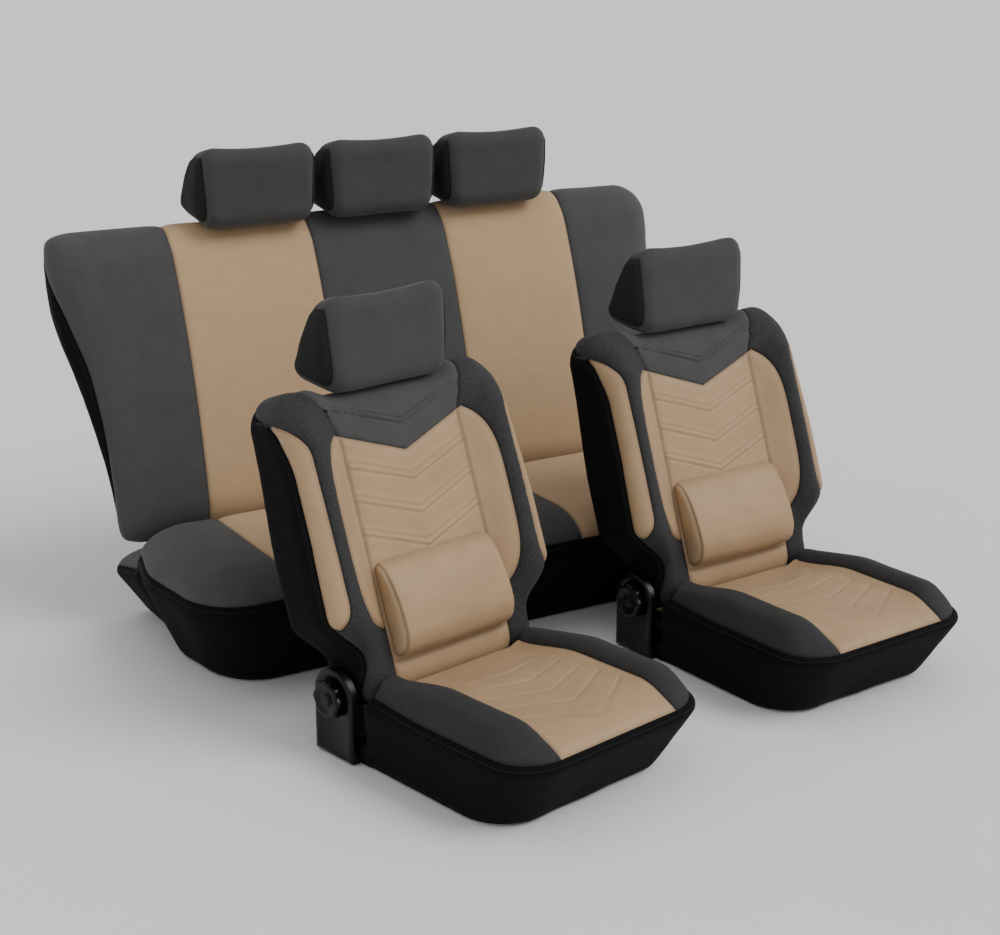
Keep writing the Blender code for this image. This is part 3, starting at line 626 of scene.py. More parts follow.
def stretch_cloth(name, colour):
    """A fine black knit: close ribs down the cloth and a faint bloom of wear and dust."""
    recipe = Recipe(name)
    knit = recipe.sines(0.0016)
    colours = recipe.mix(knit, shade(colour, 0.75), shade(colour, 1.35))
    dust = recipe.spread(recipe.noise(0.12, 6.0, 0.7), 0.45, 0.75, 0.0, 0.5)
    colours = recipe.mix(dust, colours, shade(colour, 1.7))
    normal = recipe.bump(knit, 0.0002, 0.6)
    normal = recipe.bump(recipe.noise(0.03, 3.0), 0.0015, 0.4, normal)
    return recipe.finish(colours, recipe.spread(knit, 0.0, 1.0, 0.92, 0.80), normal, specular=0.15)


def thread(name, colour):
    recipe = Recipe(name)
    twist = recipe.sines(0.0007)
    colours = recipe.mix(twist, shade(colour, 0.7), shade(colour, 1.15))
    return recipe.finish(colours, 0.6, recipe.bump(twist, 0.0001), sheen=0.2)


def moulded_plastic(name, colour, roughness):
    recipe = Recipe(name)
    smears = recipe.noise(0.03, 5.0, 0.6)
    colours = recipe.mix(recipe.spread(smears, 0.4, 0.7), shade(colour, 0.9), shade(colour, 1.5))
    rough = recipe.spread(smears, 0.35, 0.7, roughness * 0.75, roughness * 1.4)
    normal = recipe.bump(recipe.noise(0.0012, 2.0), 0.00006, 0.5)
    return recipe.finish(colours, rough, normal, specular=0.25)


def bare_steel(name, colour, roughness):
    recipe = Recipe(name)
    scratches = recipe.noise(0.004, 6.0, 0.75, 1.5)
    colours = recipe.mix(recipe.spread(scratches, 0.4, 0.65), shade(colour, 0.8), shade(colour, 1.1))
    rough = recipe.spread(scratches, 0.3, 0.7, roughness * 0.7, roughness * 1.4)
    return recipe.finish(colours, rough, recipe.bump(scratches, 0.00005, 0.4), metallic=1.0)


def open_foam(name, colour):
    recipe = Recipe(name)
    bubbles = recipe.cells(0.0020)
    colours = recipe.mix(recipe.spread(bubbles, 0.1, 0.8), shade(colour, 0.7), shade(colour, 1.05))
    return recipe.finish(colours, 0.95, recipe.bump(bubbles, 0.0006))


TAN = (0.430, 0.279, 0.148)
TAN_CLOTH = (0.435, 0.292, 0.165)
CHARCOAL = (0.052, 0.052, 0.052)
BLACK = (0.0018, 0.0018, 0.0020)
MATERIALS = {
    "tan": leatherette("tan_leatherette_grain", TAN),
    "bench_tan": suede_cloth("tan_cloth_nap", TAN_CLOTH, 0.04),
    "charcoal": suede_cloth("charcoal_cloth_nap", CHARCOAL, 0.10),
    "headrest": suede_cloth("charcoal_headrest_cloth", (0.042, 0.042, 0.042), 0.10),
    "side": suede_cloth("charcoal_cushion_cloth", (0.026, 0.026, 0.026), 0.10, 0.04),
    "gusset": suede_cloth("charcoal_gusset_cloth", (0.012, 0.012, 0.012), 0.10, 0.02),
    "mesh": mesh_cloth("charcoal_spacer_mesh", (0.024, 0.024, 0.0245)),
    "black": stretch_cloth("black_stretch_knit", BLACK),
    "tan_thread": thread("tan_thread", (0.17, 0.085, 0.035)),
    "grey_thread": thread("grey_thread", (0.10, 0.10, 0.10)),
    "black_thread": thread("black_thread", (0.004, 0.004, 0.004)),
    "plastic": moulded_plastic("gloss_black_plastic", (0.0025, 0.0025, 0.0028), 0.30),
    "chrome": bare_steel("chromed_posts", (0.72, 0.73, 0.75), 0.12),
    "steel": bare_steel("zinc_plated_steel", (0.42, 0.43, 0.44), 0.40),
    "foam": open_foam("moulded_foam", (0.62, 0.55, 0.36)),
}
THREADS = {"tan": "tan_thread", "bench_tan": "tan_thread", "black": "black_thread"}


def add_piece(name, surface, matrix, material, body, nodes=()):
    materials = [MATERIALS[material], MATERIALS[THREADS.get(material, "grey_thread")]]
    piece = bpy.data.objects.new(name, surface.mesh(name, matrix, materials))
    bpy.context.scene.collection.objects.link(piece)
    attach(piece, body)
    if nodes:
        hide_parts(*nodes)
    return piece


def foam_surface(form):
    """The form drawn in under its cover."""
    surface = Surface()
    surface.add(form.points - form.normals * FOAM_DEPTH, form.faces)
    return surface


def cut_foam(bm, rear, bottom):
    """The foam of a cushion, cut flat at its rear and underneath."""
    trim(bm, (0, rear - FOAM_DEPTH, 0), (0, 1, 0))
    trim(bm, (0, 0, bottom), (0, 0, -1))
    bmesh.ops.holes_fill(bm, edges=[edge for edge in bm.edges if edge.is_boundary])
    return foam_surface(Form(bm))


# Front backrest ------------------------------------------------------------------------------------


def back_half_width(z):
    flare = (BACK_HIGH[0] - BACK_WAIST_HALF) * ease(z, *FLARE_HEIGHTS)
    return BACK_WAIST_HALF + flare - SHOULDER_DRAW * ease(z, *SHOULDER_HEIGHTS)


def back_shape(points):
    """Narrow at the waist, bolsters down both sides, and a dip in the top for the headrest."""
    x, y, z = points.T
    outside = np.maximum(abs(x) - INSERT_HALF, 0)
    narrower = (back_half_width(z) - INSERT_HALF) / (BACK_HIGH[0] - INSERT_HALF)
    x = x - outside * (1 - narrower) * np.sign(x)
    forward = np.clip(y / BACK_LOW[1], 0, 1)
    rise = BOLSTER_RISE * ease(abs(x), INSERT_HALF, BOLSTER_CREST) * ease(z, 0.02, 0.15)
    new_y = y - rise * (1 - ease(z, 0.47, 0.57)) * forward
    new_y = new_y + 0.010 * (1 - (points[:, 0] / BACK_HIGH[0]) ** 2) * ease(y, 0.0, BACK_HIGH[1])
    new_z = z - CENTRE_DIP * (1 - ease(abs(x), *DIP_EDGE)) * ease(z, 0.45, BACK_HIGH[2])
    return np.stack([x, new_y, new_z], axis=1)


def rear_field(points):
    """Above zero on the black rear cover, which comes near the front only on the bolsters."""
    limit = REAR_SEAM_LIMIT + 0.3 * np.maximum(abs(points[:, 0]) - INSERT_HALF, 0)
    return points[:, 1] - np.maximum(smooth_along(REAR_SEAM, points[:, 2]), -limit)


def wing_edge(z):
    height = np.minimum(abs(z - WING_MIDDLE) / WING_HALF_HEIGHT, 1)
    return INSERT_HALF + WING_REACH * (1 - height**4) ** (2 / 3)


def insert_field(points):
    """Below zero inside the tan insert, its wings and its pointed top."""
    x, y, z = points.T
    over_v = (z - V_TIP - V_SLOPE * abs(x)) * 0.94
    return np.maximum(np.maximum(abs(x) - wing_edge(z), over_v), y + 0.04)


def strip_field(points):
    """Below zero inside the tan strip on a bolster's side."""
    x, y, z = points.T
    depth = -y / 0.13
    past_top = z - STRIP_TOP + 0.045 * depth * abs(depth)
    under_bottom = STRIP_BOTTOM + 0.030 * depth * depth - z
    edge = rounded_max(STRIP_X - abs(x), np.maximum(past_top, under_bottom), STRIP_CORNER)
    return rounded_max(edge, rear_field(points), 0.015)


def yoke_field(points):
    """Below zero between the two seams that run up over the shoulders from the insert's corners."""
    x, _, z = points.T
    corner = V_TIP + V_SLOPE * INSERT_HALF
    return abs(x) - INSERT_HALF - 0.42 * np.maximum(z - corner, 0)


def band(x, height, lines, half_width, offset, swell=0.5):
    """Two grooves along each shallow V, with a swell between. A V is its point's and its ends' heights."""
    total = 0
    for point, ends in lines:
        slope = (ends - point) / half_width
        away = (height - point - slope * abs(x)) * cos(atan2(slope, 1))
        lines_here = ridge(away - offset, LINE_WIDTH) + ridge(away + offset, LINE_WIDTH)
        total = total - lines_here + swell * ridge(away, offset)
    return total


def chevron_relief(points):
    x, _, z = points.T
    swell = 0.0016 * abs(np.sin((z - 0.26 - 0.35 * abs(x)) / 0.0655 * pi)) * ease(z, 0.24, 0.27)
    return 0.0030 * band(x, z, CHEVRONS, CHEVRON_HALF, CHEVRON_BAND) + swell


# The chevrons' groove lines, where the insert gets painted shade like a seam.
def chevron_groove_shade(points):
    x, _, z = points.T
    return -0.85 * band(x, z, CHEVRONS, CHEVRON_HALF, CHEVRON_BAND, 0.0)


def yoke_rib(points, swell):
    """The raised V of the yoke, which ends at the yoke's seams and at the top."""
    x, y, z = points.T
    within = (1 - ease(abs(x), 0.148, 0.158)) * (1 - ease(y, -0.03, 0.0))
    return band(x, z, (YOKE_RIB,), YOKE_HALF, YOKE_BAND, swell) * within


def yoke_relief(points):
    return 0.0034 * yoke_rib(points, 0.8) + cloth_relief(points)


# The yoke rib's groove lines, where the yoke gets painted shade like a seam.
def yoke_groove_shade(points):
    return -0.8 * yoke_rib(points, 0.0)


def cloth_relief(points):
    return 0.0010 * waves(points, 0.055, 3.0)


def rear_relief(points):
    """Cloth stretched over the rear: long shallow draws up the back."""
    return 0.0022 * waves(points, (0.06, 0.06, 0.20), 5.0) + 0.0006 * waves(points, 0.02, 1.0)


def make_front_back():
    steps = (0.0045, 0.0060, 0.0060)
    fine = (None, None, (0.22, 0.54, 0.0020))
    bm = rounded_block(BACK_LOW, BACK_HIGH, BACK_RADII, steps, back_shape, fine)
    fields = (
        rear_field,
        insert_field,
        strip_field,
        yoke_field,
        seams_at(INSERT_HALF),
        lambda points: points[:, 2] - LOWER_SEAM,
    )
    form = Form(bm, fields)
    centres = form.centres
    across, height = abs(centres[:, 0]), centres[:, 2]
    rear = rear_field(centres) > 0
    insert = (insert_field(centres) < 0) & ~rear
    strip = (strip_field(centres) < 0) & ~rear
    yoke = (yoke_field(centres) < 0) & (height > V_TIP) & ~rear & ~insert
    made = {}
    surface = Surface()
    middle = insert & (across < INSERT_HALF)
    upper = middle & (height > LOWER_SEAM)
    sew_panel(surface, form, upper, chevron_relief, crown=0.002, grooves=chevron_groove_shade)
    sew_panel(surface, form, middle & (height < LOWER_SEAM), crown=0.002, stitch=(STITCH_OFFSET,))
    for side in (-1, 1):
        wing = insert & (across > INSERT_HALF) & (centres[:, 0] * side > 0)
        sew_panel(surface, form, wing, crown=0.004, stitch=(STITCH_OFFSET,))
    made["back_insert"] = (surface, "tan", ("back_insert",), PANEL_FILL)
    for side, word in ((-1, "right"), (1, "left")):
        on_side = strip & (centres[:, 0] * side > 0)
        surface = sewn(form, on_side, crown=0.003, stitch=(STITCH_OFFSET,))
        made[f"bolster_strip_{word}"] = (surface, "tan", (f"bolster_strip_{word}",), PANEL_FILL)
    surface = sewn(form, ~rear & ~insert & ~strip & ~yoke, cloth_relief, pucker=0.0009)
    made["back_surround"] = (surface, "mesh", ("back_surround",), PANEL_FILL)
    surface = sewn(form, yoke, yoke_relief, stitch=(STITCH_OFFSET,), grooves=yoke_groove_shade)
    made["back_yoke"] = (surface, "charcoal", (), PANEL_FILL)
    surface = sewn(form, rear, rear_relief, stitch=(0.006, 0.010))
    made["back_rear_cover"] = (surface, "black", ("back_rear_cover",), None)
    plain = Form(rounded_block(BACK_LOW, BACK_HIGH, BACK_RADII, (0.012,) * 3, back_shape))
    made["back_foam"] = (foam_surface(plain), "foam", ("back_foam",), None)
    return made


def lumbar_shape(points):
    """Thin at its top and bottom edges, fullest at a third of its height."""
    x, y, z = points.T
    height = np.clip((z - LUMBAR_FULLEST) / (LUMBAR_TOP - LUMBAR_FULLEST), 0, 1)
    low = np.clip((LUMBAR_FULLEST - z) / (LUMBAR_FULLEST - LUMBAR_BOTTOM), 0, 1)
    thickness = (0.15 + 0.85 * (1 - height**2) ** 0.7) * (1 - 0.5 * low**2)
    bulge = 0.004 * (1 - (x / LUMBAR_HALF) ** 2) * ease(y, LUMBAR_BACK, LUMBAR_BACK - LUMBAR_DEPTH)
    thinned = np.where(y < LUMBAR_BACK, LUMBAR_BACK + (y - LUMBAR_BACK) * thickness, y)
    return np.stack([x * 0.965, thinned - bulge * thickness, z], axis=1)


def lumbar_relief(points):
    """The pad's cover creases softly across it."""
    return 0.0008 * waves(points, (0.12, 0.05, 0.02), 7.0)


def make_lumbar_pad():
    low = np.array((-LUMBAR_HALF, LUMBAR_BACK - LUMBAR_DEPTH, LUMBAR_BOTTOM))
    high = np.array((LUMBAR_HALF, LUMBAR_BACK + 0.045, LUMBAR_TOP))
    bm = rounded_block(low, high, np.array((0.012, 0.030, 0.016)), (0.0030,) * 3, lumbar_shape)
    trim(bm, (0, LUMBAR_BACK + 0.004, 0), (0, 1, 0))
    form = Form(bm, [seams_at(LUMBAR_GUSSET)])
    across = form.centres[:, 0]
    surface = Surface()
    sew_panel(surface, form, abs(across) < LUMBAR_GUSSET, lumbar_relief, 0.002, (0.004,))
    for side in (-1, 1):
        sew_panel(surface, form, across * side > LUMBAR_GUSSET, crown=0.001)
    return {"lumbar_pad": (surface, "tan", ("lumbar_pad",), PAD_FILL)}


# Headrests -----------------------------------------------------------------------------------------


def headrest_form(sizes):
    """The shape function of a wedge between four corners, with a top edge that dips in the middle."""

    def shape(points):
        x, y, z = points.T
        across = ((y + HEADREST_BLOCK[1]) / (2 * HEADREST_BLOCK[1]))[:, None]
        up = ((z + HEADREST_BLOCK[2]) / (2 * HEADREST_BLOCK[2]))[:, None]
        front = sizes["front_bottom"] + (sizes["front_top"] - sizes["front_bottom"]) * up
        rear = sizes["rear_bottom"] + (sizes["rear_top"] - sizes["rear_bottom"]) * up
        place = front + (rear - front) * across
        narrow = 1.0 - 0.06 * (z / HEADREST_BLOCK[2]) ** 2
        dip = HEADREST_DIP * (1 - (x / sizes["half"]) ** 2) * ease(z, 0.02, HEADREST_BLOCK[2])
        return np.stack([x * narrow, place[:, 0], place[:, 1] - dip], axis=1)

    return shape


def headrest_relief(points):
    return 0.0016 * waves(points, (0.07, 0.05, 0.035), 11.0)


def make_headrest(sizes, with_foam):
    high = HEADREST_BLOCK + np.array((sizes["half"], 0, 0))
    radii = np.array((0.040, 0.032, 0.036))
    shape = headrest_form(sizes)

    def gusset_field(points):
        """Below zero on the band over the face, top and rear, above zero on the two side gussets."""
        return abs(points[:, 0]) - sizes["half"] + GUSSET_INSET - 0.006 * ease(points[:, 2], 0.0, 0.12)

    form = Form(rounded_block(-high, high, radii, (0.005,) * 3, shape), [gusset_field])
    side = gusset_field(form.centres) > 0
    made = {}
    surface = sewn(form, ~side, headrest_relief, 0.003, (0.004, 0.008))
    made["headrest_cover"] = (surface, "headrest", ("headrest_cover",), PAD_FILL)
    surface = Surface()
    for sign in (-1, 1):
        gusset = side & (form.centres[:, 0] * sign > 0)
        sew_panel(surface, form, gusset, headrest_relief, 0.002)
    made["headrest_gussets"] = (surface, "gusset", (), PAD_FILL)
    if with_foam:
        plain = Form(rounded_block(-high, high, radii, (0.012,) * 3, shape))
        made["headrest_foam"] = (foam_surface(plain), "foam", ("headrest_foam",), None)
    made["headrest_posts"] = (post_surface(), "chrome", ("headrest_posts",), None)
    return made


def post_surface(sides=20):
    """One bar bent into an upside-down U, its two legs going down into the seat."""
    line = [(-POST_X, -POST_DROP)]
    bends = ((-POST_X + POST_BEND, range(180, 80, -10)), (POST_X - POST_BEND, range(90, -10, -10)))
    for centre, turns in bends:
        for turn in map(radians, turns):
            line.append((centre + POST_BEND * cos(turn), POST_REACH - POST_BEND + POST_BEND * sin(turn)))
    line.append((POST_X, -POST_DROP))
    line = np.array(line)
    tangents = np.gradient(line, axis=0)
    tangents /= np.linalg.norm(tangents, axis=1, keepdims=True)
    points = []
    for (x, z), (along, up) in zip(line, tangents):
        for turn in np.linspace(0, 2 * pi, sides, endpoint=False):
            out = POST_RADIUS * cos(turn)
            points.append((x - up * out, POST_Y + POST_RADIUS * sin(turn), z + along * out))
    faces = []
    for ring in range(len(line) - 1):
        for k in range(sides):
            near, far = ring * sides + k, ring * sides + (k + 1) % sides
            faces.append((near, far, far + sides, near + sides))
    faces.append(tuple(range(sides)))
    faces.append(tuple(range(len(points) - 1, len(points) - 1 - sides, -1)))
    surface = Surface()
    surface.add(points, faces)
    return surface


# Front cushion -------------------------------------------------------------------------------------


def shelf_share(y):
    """0 under the occupant, 1 on the low shelf under the backrest."""
    return ease(y, CUSHION_REAR - SHELF_STEP, CUSHION_REAR + SHELF_STEP)


def skirt_field(points):
    """Above zero over the skirt. Its seam dips where the insert runs on under the backrest."""
    x, y, z = points.T
    share = shelf_share(y)
    dip = 0.030 * ease(y, -0.20, -0.10) * (1 - ease(abs(x), INSERT_HALF, 0.20)) * (1 - share)
    return z - SKIRT_SEAM + dip - (SHELF_TOP - 0.014 - SKIRT_SEAM) * share


def cushion_shape(points):
    """Bolsters along both sides, a skirt that draws in towards its hem, and a low shelf at the rear."""
    x, y, z = points.T
    top = ease(z, 0.13, CUSHION_HIGH[2])
    low = np.clip((0.14 - z) / 0.14, 0, 1)
    rise = 0.030 * ease(abs(x), 0.12, 0.18) * (1 - ease(abs(x), 0.205, CUSHION_HIGH[0]))
    fall = 0.026 * ease(y, -0.27, CUSHION_REAR)
    new_z = z + (rise * ease(y, CUSHION_LOW[1] + 0.02, -0.42) - fall) * top
    lowered = new_z * (1 - (1 - SHELF_TOP / (CUSHION_HIGH[2] - 0.026)) * shelf_share(y))
    new_z = np.where(new_z > 0, lowered, new_z)
    new_y = y + 0.088 * low * (1 - ease(y, -0.42, -0.20))
    narrow = ease(y, -0.105, -0.066)
    new_x = x * ((1 - 0.10 * low) * (1 - narrow) + SHELF_HALF / CUSHION_HIGH[0] * narrow)
    return np.stack([new_x, new_y, new_z], axis=1)


def quilt_lines(points):
    """1 on the cushion insert's sewn Vs, which open towards the backrest."""
    x, y, _ = points.T
    share = 0
    for point, half, ends in QUILT_LINES:
        slope = (ends - point) / half
        away = (y - point - slope * abs(x)) * cos(atan2(slope, 1))
        share = share + ridge(away, 0.0030) * (1 - ease(abs(x), half - 0.01, half))
    return share


def quilt_relief(points):
    y = points[:, 1]
    swell = 0.0015 * (1 - ease(y, -0.21, -0.18)) * ease(y, -0.50, -0.44)
    return swell - 0.0030 * quilt_lines(points) + 0.0008 * waves(points, 0.07, 2.0)


def skirt_relief(points):
    """The skirt hangs in soft folds that deepen towards its hem."""
    low = 1 - ease(points[:, 2], 0.02, 0.13)
    return 0.0028 * low * waves(points, (0.07, 0.07, 0.35), 9.0) + 0.0008 * waves(points, 0.04)


def make_front_cushion():
    steps = (0.0048, 0.0060, 0.0060)
    fine = (None, (-0.43, -0.19, 0.0032), None)
    bm = rounded_block(CUSHION_LOW, CUSHION_HIGH, CUSHION_RADII, steps, cushion_shape, fine)
    trim(bm, (0, SHELF_REAR, 0), (0, 1, 0))
    trim(bm, (0, 0, HEM), (0, 0, -1))
    form = Form(bm, (skirt_field, seams_at(INSERT_HALF)))
    centres = form.centres
    across = centres[:, 0]
    over = skirt_field(centres) > 0
    beside_ear = (abs(across) > EAR_INSIDE) & (centres[:, 1] > CUSHION_REAR) & over
    made = {}
    middle = over & (abs(across) < INSERT_HALF)
    # The quilted Vs also get painted shade like a seam.
    surface = sewn(form, middle, quilt_relief, grooves=quilt_lines)
    made["cushion_insert"] = (surface, "tan", ("cushion_insert",), PANEL_FILL)
    for side, word in ((-1, "right"), (1, "left")):
        outer = over & (across * side > INSERT_HALF) & ~beside_ear
        surface = sewn(form, outer, cloth_relief, 0.003, pucker=0.0009)
        made[f"cushion_side_{word}"] = (surface, "side", (f"cushion_side_{word}",), PANEL_FILL)
    surface = sewn(form, ~over, skirt_relief, 0.002, (0.012,))
    made["cushion_skirt"] = (surface, "black", ("cushion_skirt",), None)
    bm = rounded_block(CUSHION_LOW, CUSHION_HIGH, CUSHION_RADII, (0.012,) * 3, cushion_shape)
    made["cushion_foam"] = (cut_foam(bm, SHELF_REAR, CUSHION_FOAM_BOTTOM), "foam", ("cushion_foam",), None)
    return made


# Recliner ------------------------------------------------------------------------------------------


def rings_surface(outlines):
    """A closed skin through outlines of equal length, the first and last filled."""
    count = len(outlines[0])
    faces = [tuple(range(count))[::-1]]
    for ring in range(len(outlines) - 1):
        for k in range(count):
            near, far = ring * count + k, ring * count + (k + 1) % count
            faces.append((near, far, far + count, near + count))
    start = (len(outlines) - 1) * count
    faces.append(tuple(range(start, start + count)))
    surface = Surface()
    surface.add(np.concatenate(outlines), faces)
    return surface


def shield_outline(inset, x):
    """An arch round the recline axis that runs straight down to the foot."""
    radius = SHIELD_RADIUS - inset
    arch = [(radius * cos(turn), radius * sin(turn)) for turn in np.linspace(0, pi, 33)]
    foot = SHIELD_FOOT - PIVOT_HEIGHT + inset
    line = [(radius, foot), *arch, (-radius, foot)]
    return np.array([(x, y, PIVOT_HEIGHT + z) for y, z in line])


def make_shield():
    depth = SHIELD_THICKNESS
    profile = (
        (0.0, 0.0),
        (0.0, depth - 0.005),
        (0.0015, depth - 0.0015),
        (0.005, depth),
        (0.012, depth),
        (0.014, depth - 0.0012),
    )
    outlines = [shield_outline(inset, -SHIELD_X - out) for inset, out in profile]
    return {"recliner_shield": (rings_surface(outlines), "plastic", ("recliner_shield",), None)}


def knob_outline(radius, lobes, out):
    turns = np.linspace(0, 2 * pi, 128, endpoint=False)
    reach = radius * (1 + lobes * np.cos(KNOB_LOBES * turns))
    x = -SHIELD_X - SHIELD_THICKNESS - 0.0005 - out
    y, z = reach * np.cos(turns), PIVOT_HEIGHT + reach * np.sin(turns)
    return np.stack([np.full(len(turns), x), y, z], axis=1)


def make_knob():
    """A lobed grip with a rounded rim, a dished face and a raised cap in the middle."""
    depth = KNOB_THICKNESS
    profile = (
        (KNOB_RADIUS * 0.96, 0.045, 0.0),
        (KNOB_RADIUS, 0.060, 0.003),
        (KNOB_RADIUS, 0.060, depth - 0.005),
        (KNOB_RADIUS - 0.0015, 0.055, depth - 0.0015),
        (KNOB_RADIUS - 0.005, 0.045, depth),
        (KNOB_RADIUS - 0.010, 0.020, depth),
        (KNOB_RADIUS - 0.013, 0.0, depth - 0.003),
        (KNOB_RADIUS * 0.36, 0.0, depth - 0.003),
        (KNOB_RADIUS * 0.33, 0.0, depth - 0.0005),
        (KNOB_RADIUS * 0.26, 0.0, depth),
    )
    outlines = [knob_outline(*numbers) for numbers in profile]
    return {"recliner_knob": (rings_surface(outlines), "plastic", ("recliner_knob",), None)}


# Rear bench ----------------------------------------------------------------------------------------


def squared(x, z, corner_x, corner_z):
    """Points of a rounded corner, moved halfway out to a corner of half that radius."""
    across = np.maximum(0, 1 - abs(corner_x - x) / BENCH_CORNER)
    up = np.maximum(0, 1 - abs(corner_z - z) / BENCH_CORNER)
    return x + (corner_x - x) * (across * up), z + (corner_z - z) * (across * up)


def bench_back_shape(points):
    """Wider at the top, crowned in front, its sides drawn in towards the rear lower down."""
    x, y, z = points.T
    for corner_x, corner_z in ((BENCH_LOW[0], BENCH_HIGH[2]), (BENCH_LOW[0], 0.0), (BENCH_HIGH[0], 0.0)):
        x, z = squared(x, z, corner_x, corner_z)
    half = BENCH_WAIST_HALF + (BENCH_HIGH[0] - BENCH_WAIST_HALF) * ease(z, 0.05, 0.60)
    draw_in = (0.006 + 0.084 * (1 - ease(z, 0.15, 0.55))) * ease(y, 0.0, BENCH_HIGH[1])
    crown = BENCH_CROWN * ease(y, 0.06, 0.0) * np.maximum(0, 1 - ((z - 0.33) / 0.33) ** 2)
    new_y = y - crown * (1 - (x / BENCH_HIGH[0]) ** 6)
    return np.stack([x / BENCH_HIGH[0] * (half - draw_in), new_y, z], axis=1)


def bench_rear_field(points):
    return points[:, 1] - smooth_along(BENCH_REAR_SEAM, points[:, 2], 0.04)


def bench_relief(points):
    """Broad soft hollows in the bench's cloth, and small creases towards its foot."""
    broad = 0.0030 * waves(points, (0.22, 0.2, 0.15), 4.0)
    return broad + 0.0007 * waves(points, (0.05, 0.05, 0.03), 8.0)


def stripes(centres, inner):
    """Name and mask of the bench's five stripes."""
    x = centres[:, 0]
    yield "outer_right", x < -STRIPE_OUTER
    yield "stripe_right", (x > -STRIPE_OUTER) & (x < -inner)
    yield "middle", abs(x) < inner
    yield "stripe_left", (x > inner) & (x < STRIPE_OUTER)
    yield "outer_left", x > STRIPE_OUTER


def add_striped(made, form, prefix, mask, inner):
    for word, stripe in stripes(form.centres, inner):
        surface = sewn(form, mask & stripe, bench_relief, 0.004)
        material = "bench_tan" if "stripe" in word else "charcoal"
        made[f"{prefix}_{word}"] = (surface, material, (f"{prefix}_{word}",), PANEL_FILL)


def make_bench_back():
    seams = (
        bench_rear_field,
        seams_at(STRIPE_OUTER),
        seams_at(BACK_STRIPE_INNER),
    )
    steps = (0.008, 0.007, 0.007)
    form = Form(rounded_block(BENCH_LOW, BENCH_HIGH, BENCH_RADII, steps, bench_back_shape), seams)
    rear = bench_rear_field(form.centres) > 0
    made = {}
    add_striped(made, form, "back", ~rear, BACK_STRIPE_INNER)
    surface = sewn(form, rear, rear_relief, stitch=(0.006, 0.010))
    made["back_cover"] = (surface, "black", ("back_cover",), None)
    plain = Form(rounded_block(BENCH_LOW, BENCH_HIGH, BENCH_RADII, (0.020,) * 3, bench_back_shape))
    made["back_foam"] = (foam_surface(plain), "foam", ("back_foam",), None)
    return made


def under_back(y):
    """The share of its height that the bench cushion keeps, less and less under the backrest."""
    return 1 - (0.055 * ease(y, -0.035, 0.005) + 0.30 * np.maximum(y, 0)) / SEAT_HIGH[2]


def bench_seat_shape(points):
    """A crowned seat that falls away under the backrest, over a skirt that draws in to its hem."""
    x, y, z = points.T
    low = np.clip((0.17 - z) / 0.17, 0, 1)
    new_y = y + 0.062 * low * (1 - ease(y, -0.36, -0.12))
    taper = (1 - 0.04 * ease(y, -0.05, SEAT_LOW[1])) * (1 - 0.055 * ease(y, -0.20, 0.0))
    new_x = x * (1 - 0.10 * low) * taper
    return np.stack([new_x, new_y, np.where(z > 0, z * under_back(y), z)], axis=1)


def seat_seam_field(points):
    return points[:, 2] - SEAT_SEAM * under_back(points[:, 1])


def make_bench_seat():
    bm = rounded_block(SEAT_LOW, SEAT_HIGH, SEAT_RADII, (0.008, 0.008, 0.008), bench_seat_shape)
    trim(bm, (0, SEAT_REAR, 0), (0, 1, 0))
    trim(bm, (0, 0, HEM), (0, 0, -1))
    seams = (
        seat_seam_field,
        seams_at(STRIPE_OUTER),
        seams_at(SEAT_STRIPE_INNER),
    )
    form = Form(bm, seams)
    over = seat_seam_field(form.centres) > 0
    made = {}
    add_striped(made, form, "cushion", over, SEAT_STRIPE_INNER)
    surface = sewn(form, ~over, skirt_relief, 0.002, (0.012,))
    made["cushion_skirt"] = (surface, "black", ("cushion_skirt",), None)
    bm = rounded_block(SEAT_LOW, SEAT_HIGH, SEAT_RADII, (0.020,) * 3, bench_seat_shape)
    made["cushion_foam"] = (cut_foam(bm, SEAT_REAR, SEAT_FOAM_BOTTOM), "foam", ("cushion_foam",), None)
    return made


# The set -------------------------------------------------------------------------------------------


def add_all(made, prefix, matrix, body):
    for name, (surface, material, nodes, padded) in made.items():
        add_piece(prefix + name, surface, matrix, material, body, [prefix + node for node in nodes])


def leaned(seat, foot, lean):
    return seat @ Matrix.Translation((0, 0, foot)) @ Matrix.Rotation(-lean, 4, "X")


front_back = {**make_front_back(), **make_lumbar_pad()}
front_headrest = make_headrest(FRONT_HEADREST, with_foam=True)
front_seat = {**make_front_cushion(), **make_shield()}
knob = make_knob()
for prefix in ("front_right_", "front_left_"):
    hinge = JOINTS[prefix + "recline"]
    turn = atan2(-hinge["axis"][1], -hinge["axis"][0])
    foot = Vector(hinge["pos_m"]) - Vector((0, 0, PIVOT_HEIGHT))
    seat = Matrix.Translation(foot) @ Matrix.Rotation(turn, 4, "Z")
    back = leaned(seat, PIVOT_HEIGHT, FRONT_LEAN)
    add_all(front_seat, prefix, seat, "root")
    add_all(knob, prefix, seat, prefix + "recliner_knob")
    add_all(front_back, prefix, back, prefix + "backrest")
    add_all(front_headrest, prefix, back @ Matrix.Translation(FRONT_POST_ENTRY), prefix + "headrest")

slide = JOINTS["rear_centre_headrest_height"]["axis"]
turn = Matrix.Rotation(atan2(-slide[0], slide[1]), 4, "Z")
foot = Vector(MOUNTS["rear_bench_base"]["pos_m"]) - turn @ Vector((0, BENCH_MOUNT_Y, 0))
bench = Matrix.Translation(foot) @ turn
bench_back = leaned(bench, BENCH_BACK_FOOT, BENCH_LEAN)
add_all(make_bench_seat(), "rear_", bench, "root")
add_all(make_bench_back(), "rear_", bench_back, "root")
bench_headrest = make_headrest(BENCH_HEADREST, with_foam=False)
for word, x in BENCH_HEADREST_X.items():
    place = bench_back @ Matrix.Translation(BENCH_POST_ENTRY + Vector((x, 0, 0)))
    add_all(bench_headrest, f"rear_{word}_", place, f"rear_{word}_headrest")

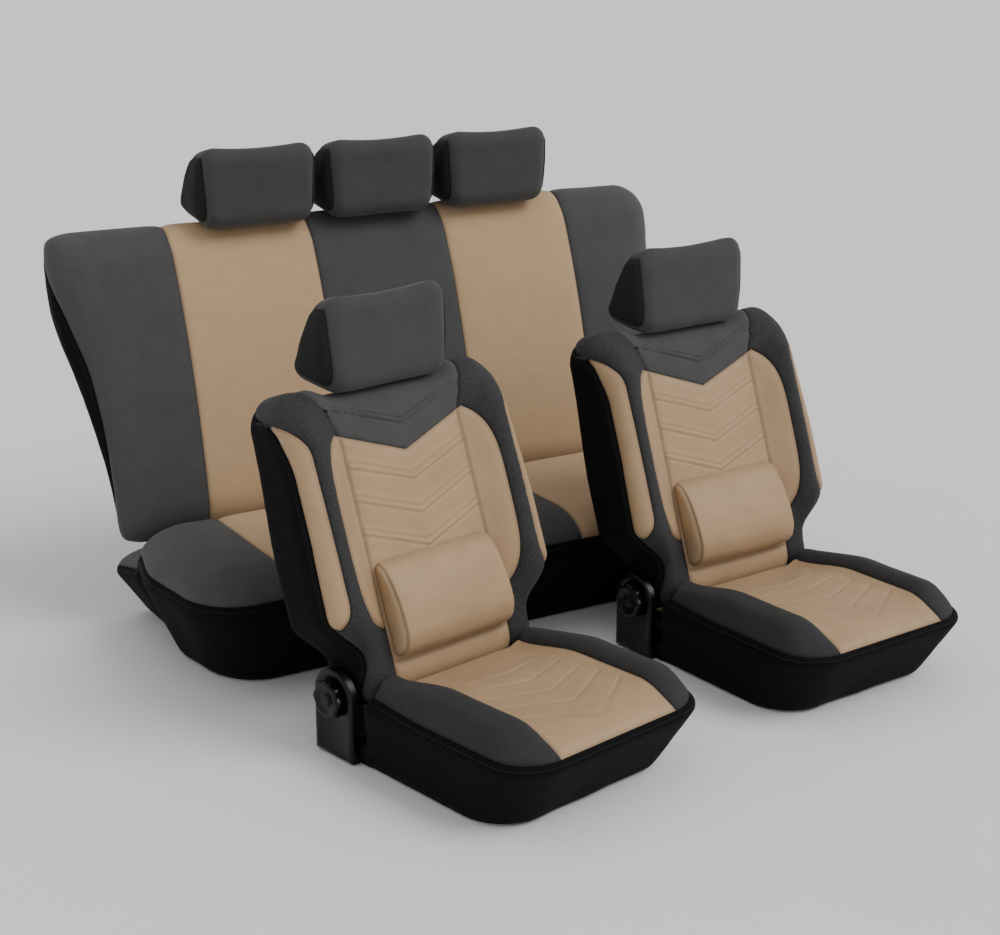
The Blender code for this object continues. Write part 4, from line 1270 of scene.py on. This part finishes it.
for name, node in frame["nodes"].items():
    if not node.hide_render:
        node.data.materials.clear()
        node.data.materials.append(MATERIALS["steel"])


# Camera, light and floor ---------------------------------------------------------------------------

SHIFT = Vector(MOUNTS["front_right_base"]["pos_m"]) + Vector((0, 0.16, 0))
CAMERA_PLACE = SHIFT + Vector((-2.135, -2.502, 1.543))
CAMERA_TARGET = SHIFT + Vector((0.465, 0.300, 0.364))
LENS = 64.67
GREY = (0.67, 0.67, 0.67, 1.0)

camera = bpy.data.objects.new("camera", bpy.data.cameras.new("camera"))
camera.data.sensor_width = 36.0
camera.data.lens = LENS
camera.data.clip_end = 200.0
camera.location = CAMERA_PLACE
camera.rotation_euler = (CAMERA_TARGET - CAMERA_PLACE).to_track_quat("-Z", "Y").to_euler()
bpy.context.scene.collection.objects.link(camera)
bpy.context.scene.camera = camera

FLOOR_HALF = 90.0
floor_mesh = bpy.data.meshes.new("floor")
corners = [(-FLOOR_HALF, -FLOOR_HALF, 0), (FLOOR_HALF, -FLOOR_HALF, 0), (FLOOR_HALF, FLOOR_HALF, 0)]
floor_mesh.from_pydata([*corners, (-FLOOR_HALF, FLOOR_HALF, 0)], [], [(0, 1, 2, 3)])
floor = bpy.data.objects.new("floor", floor_mesh)
bpy.context.scene.collection.objects.link(floor)
paint = Recipe("studio_floor")
tone = paint.spread(paint.noise(0.6), 0.3, 0.7, 0.98, 1.02)
floor_colour = paint.mix(tone, (0, 0, 0, 1), (0.88, 0.88, 0.88, 1.0))
floor_mesh.materials.append(paint.finish(floor_colour, 0.9, paint.bump(paint.noise(0.004), 0.0002, 0.2)))

world = bpy.data.worlds.new("studio")
bpy.context.scene.world = world
world.use_nodes = True
world.node_tree.nodes["Background"].inputs["Color"].default_value = GREY
world.node_tree.nodes["Background"].inputs["Strength"].default_value = 1.0


def add_sun(name, direction, strength, spread):
    """A soft sun that shines from this direction."""
    lamp = bpy.data.lights.new(name, "SUN")
    lamp.energy = strength
    lamp.angle = radians(spread)
    sun = bpy.data.objects.new(name, lamp)
    sun.rotation_euler = Vector(direction).to_track_quat("Z", "Y").to_euler()
    bpy.context.scene.collection.objects.link(sun)


add_sun("key", (0.55, -1.0, 1.15), 1.6, 35)
add_sun("fill", (-0.9, -0.8, 0.9), 0.2, 60)
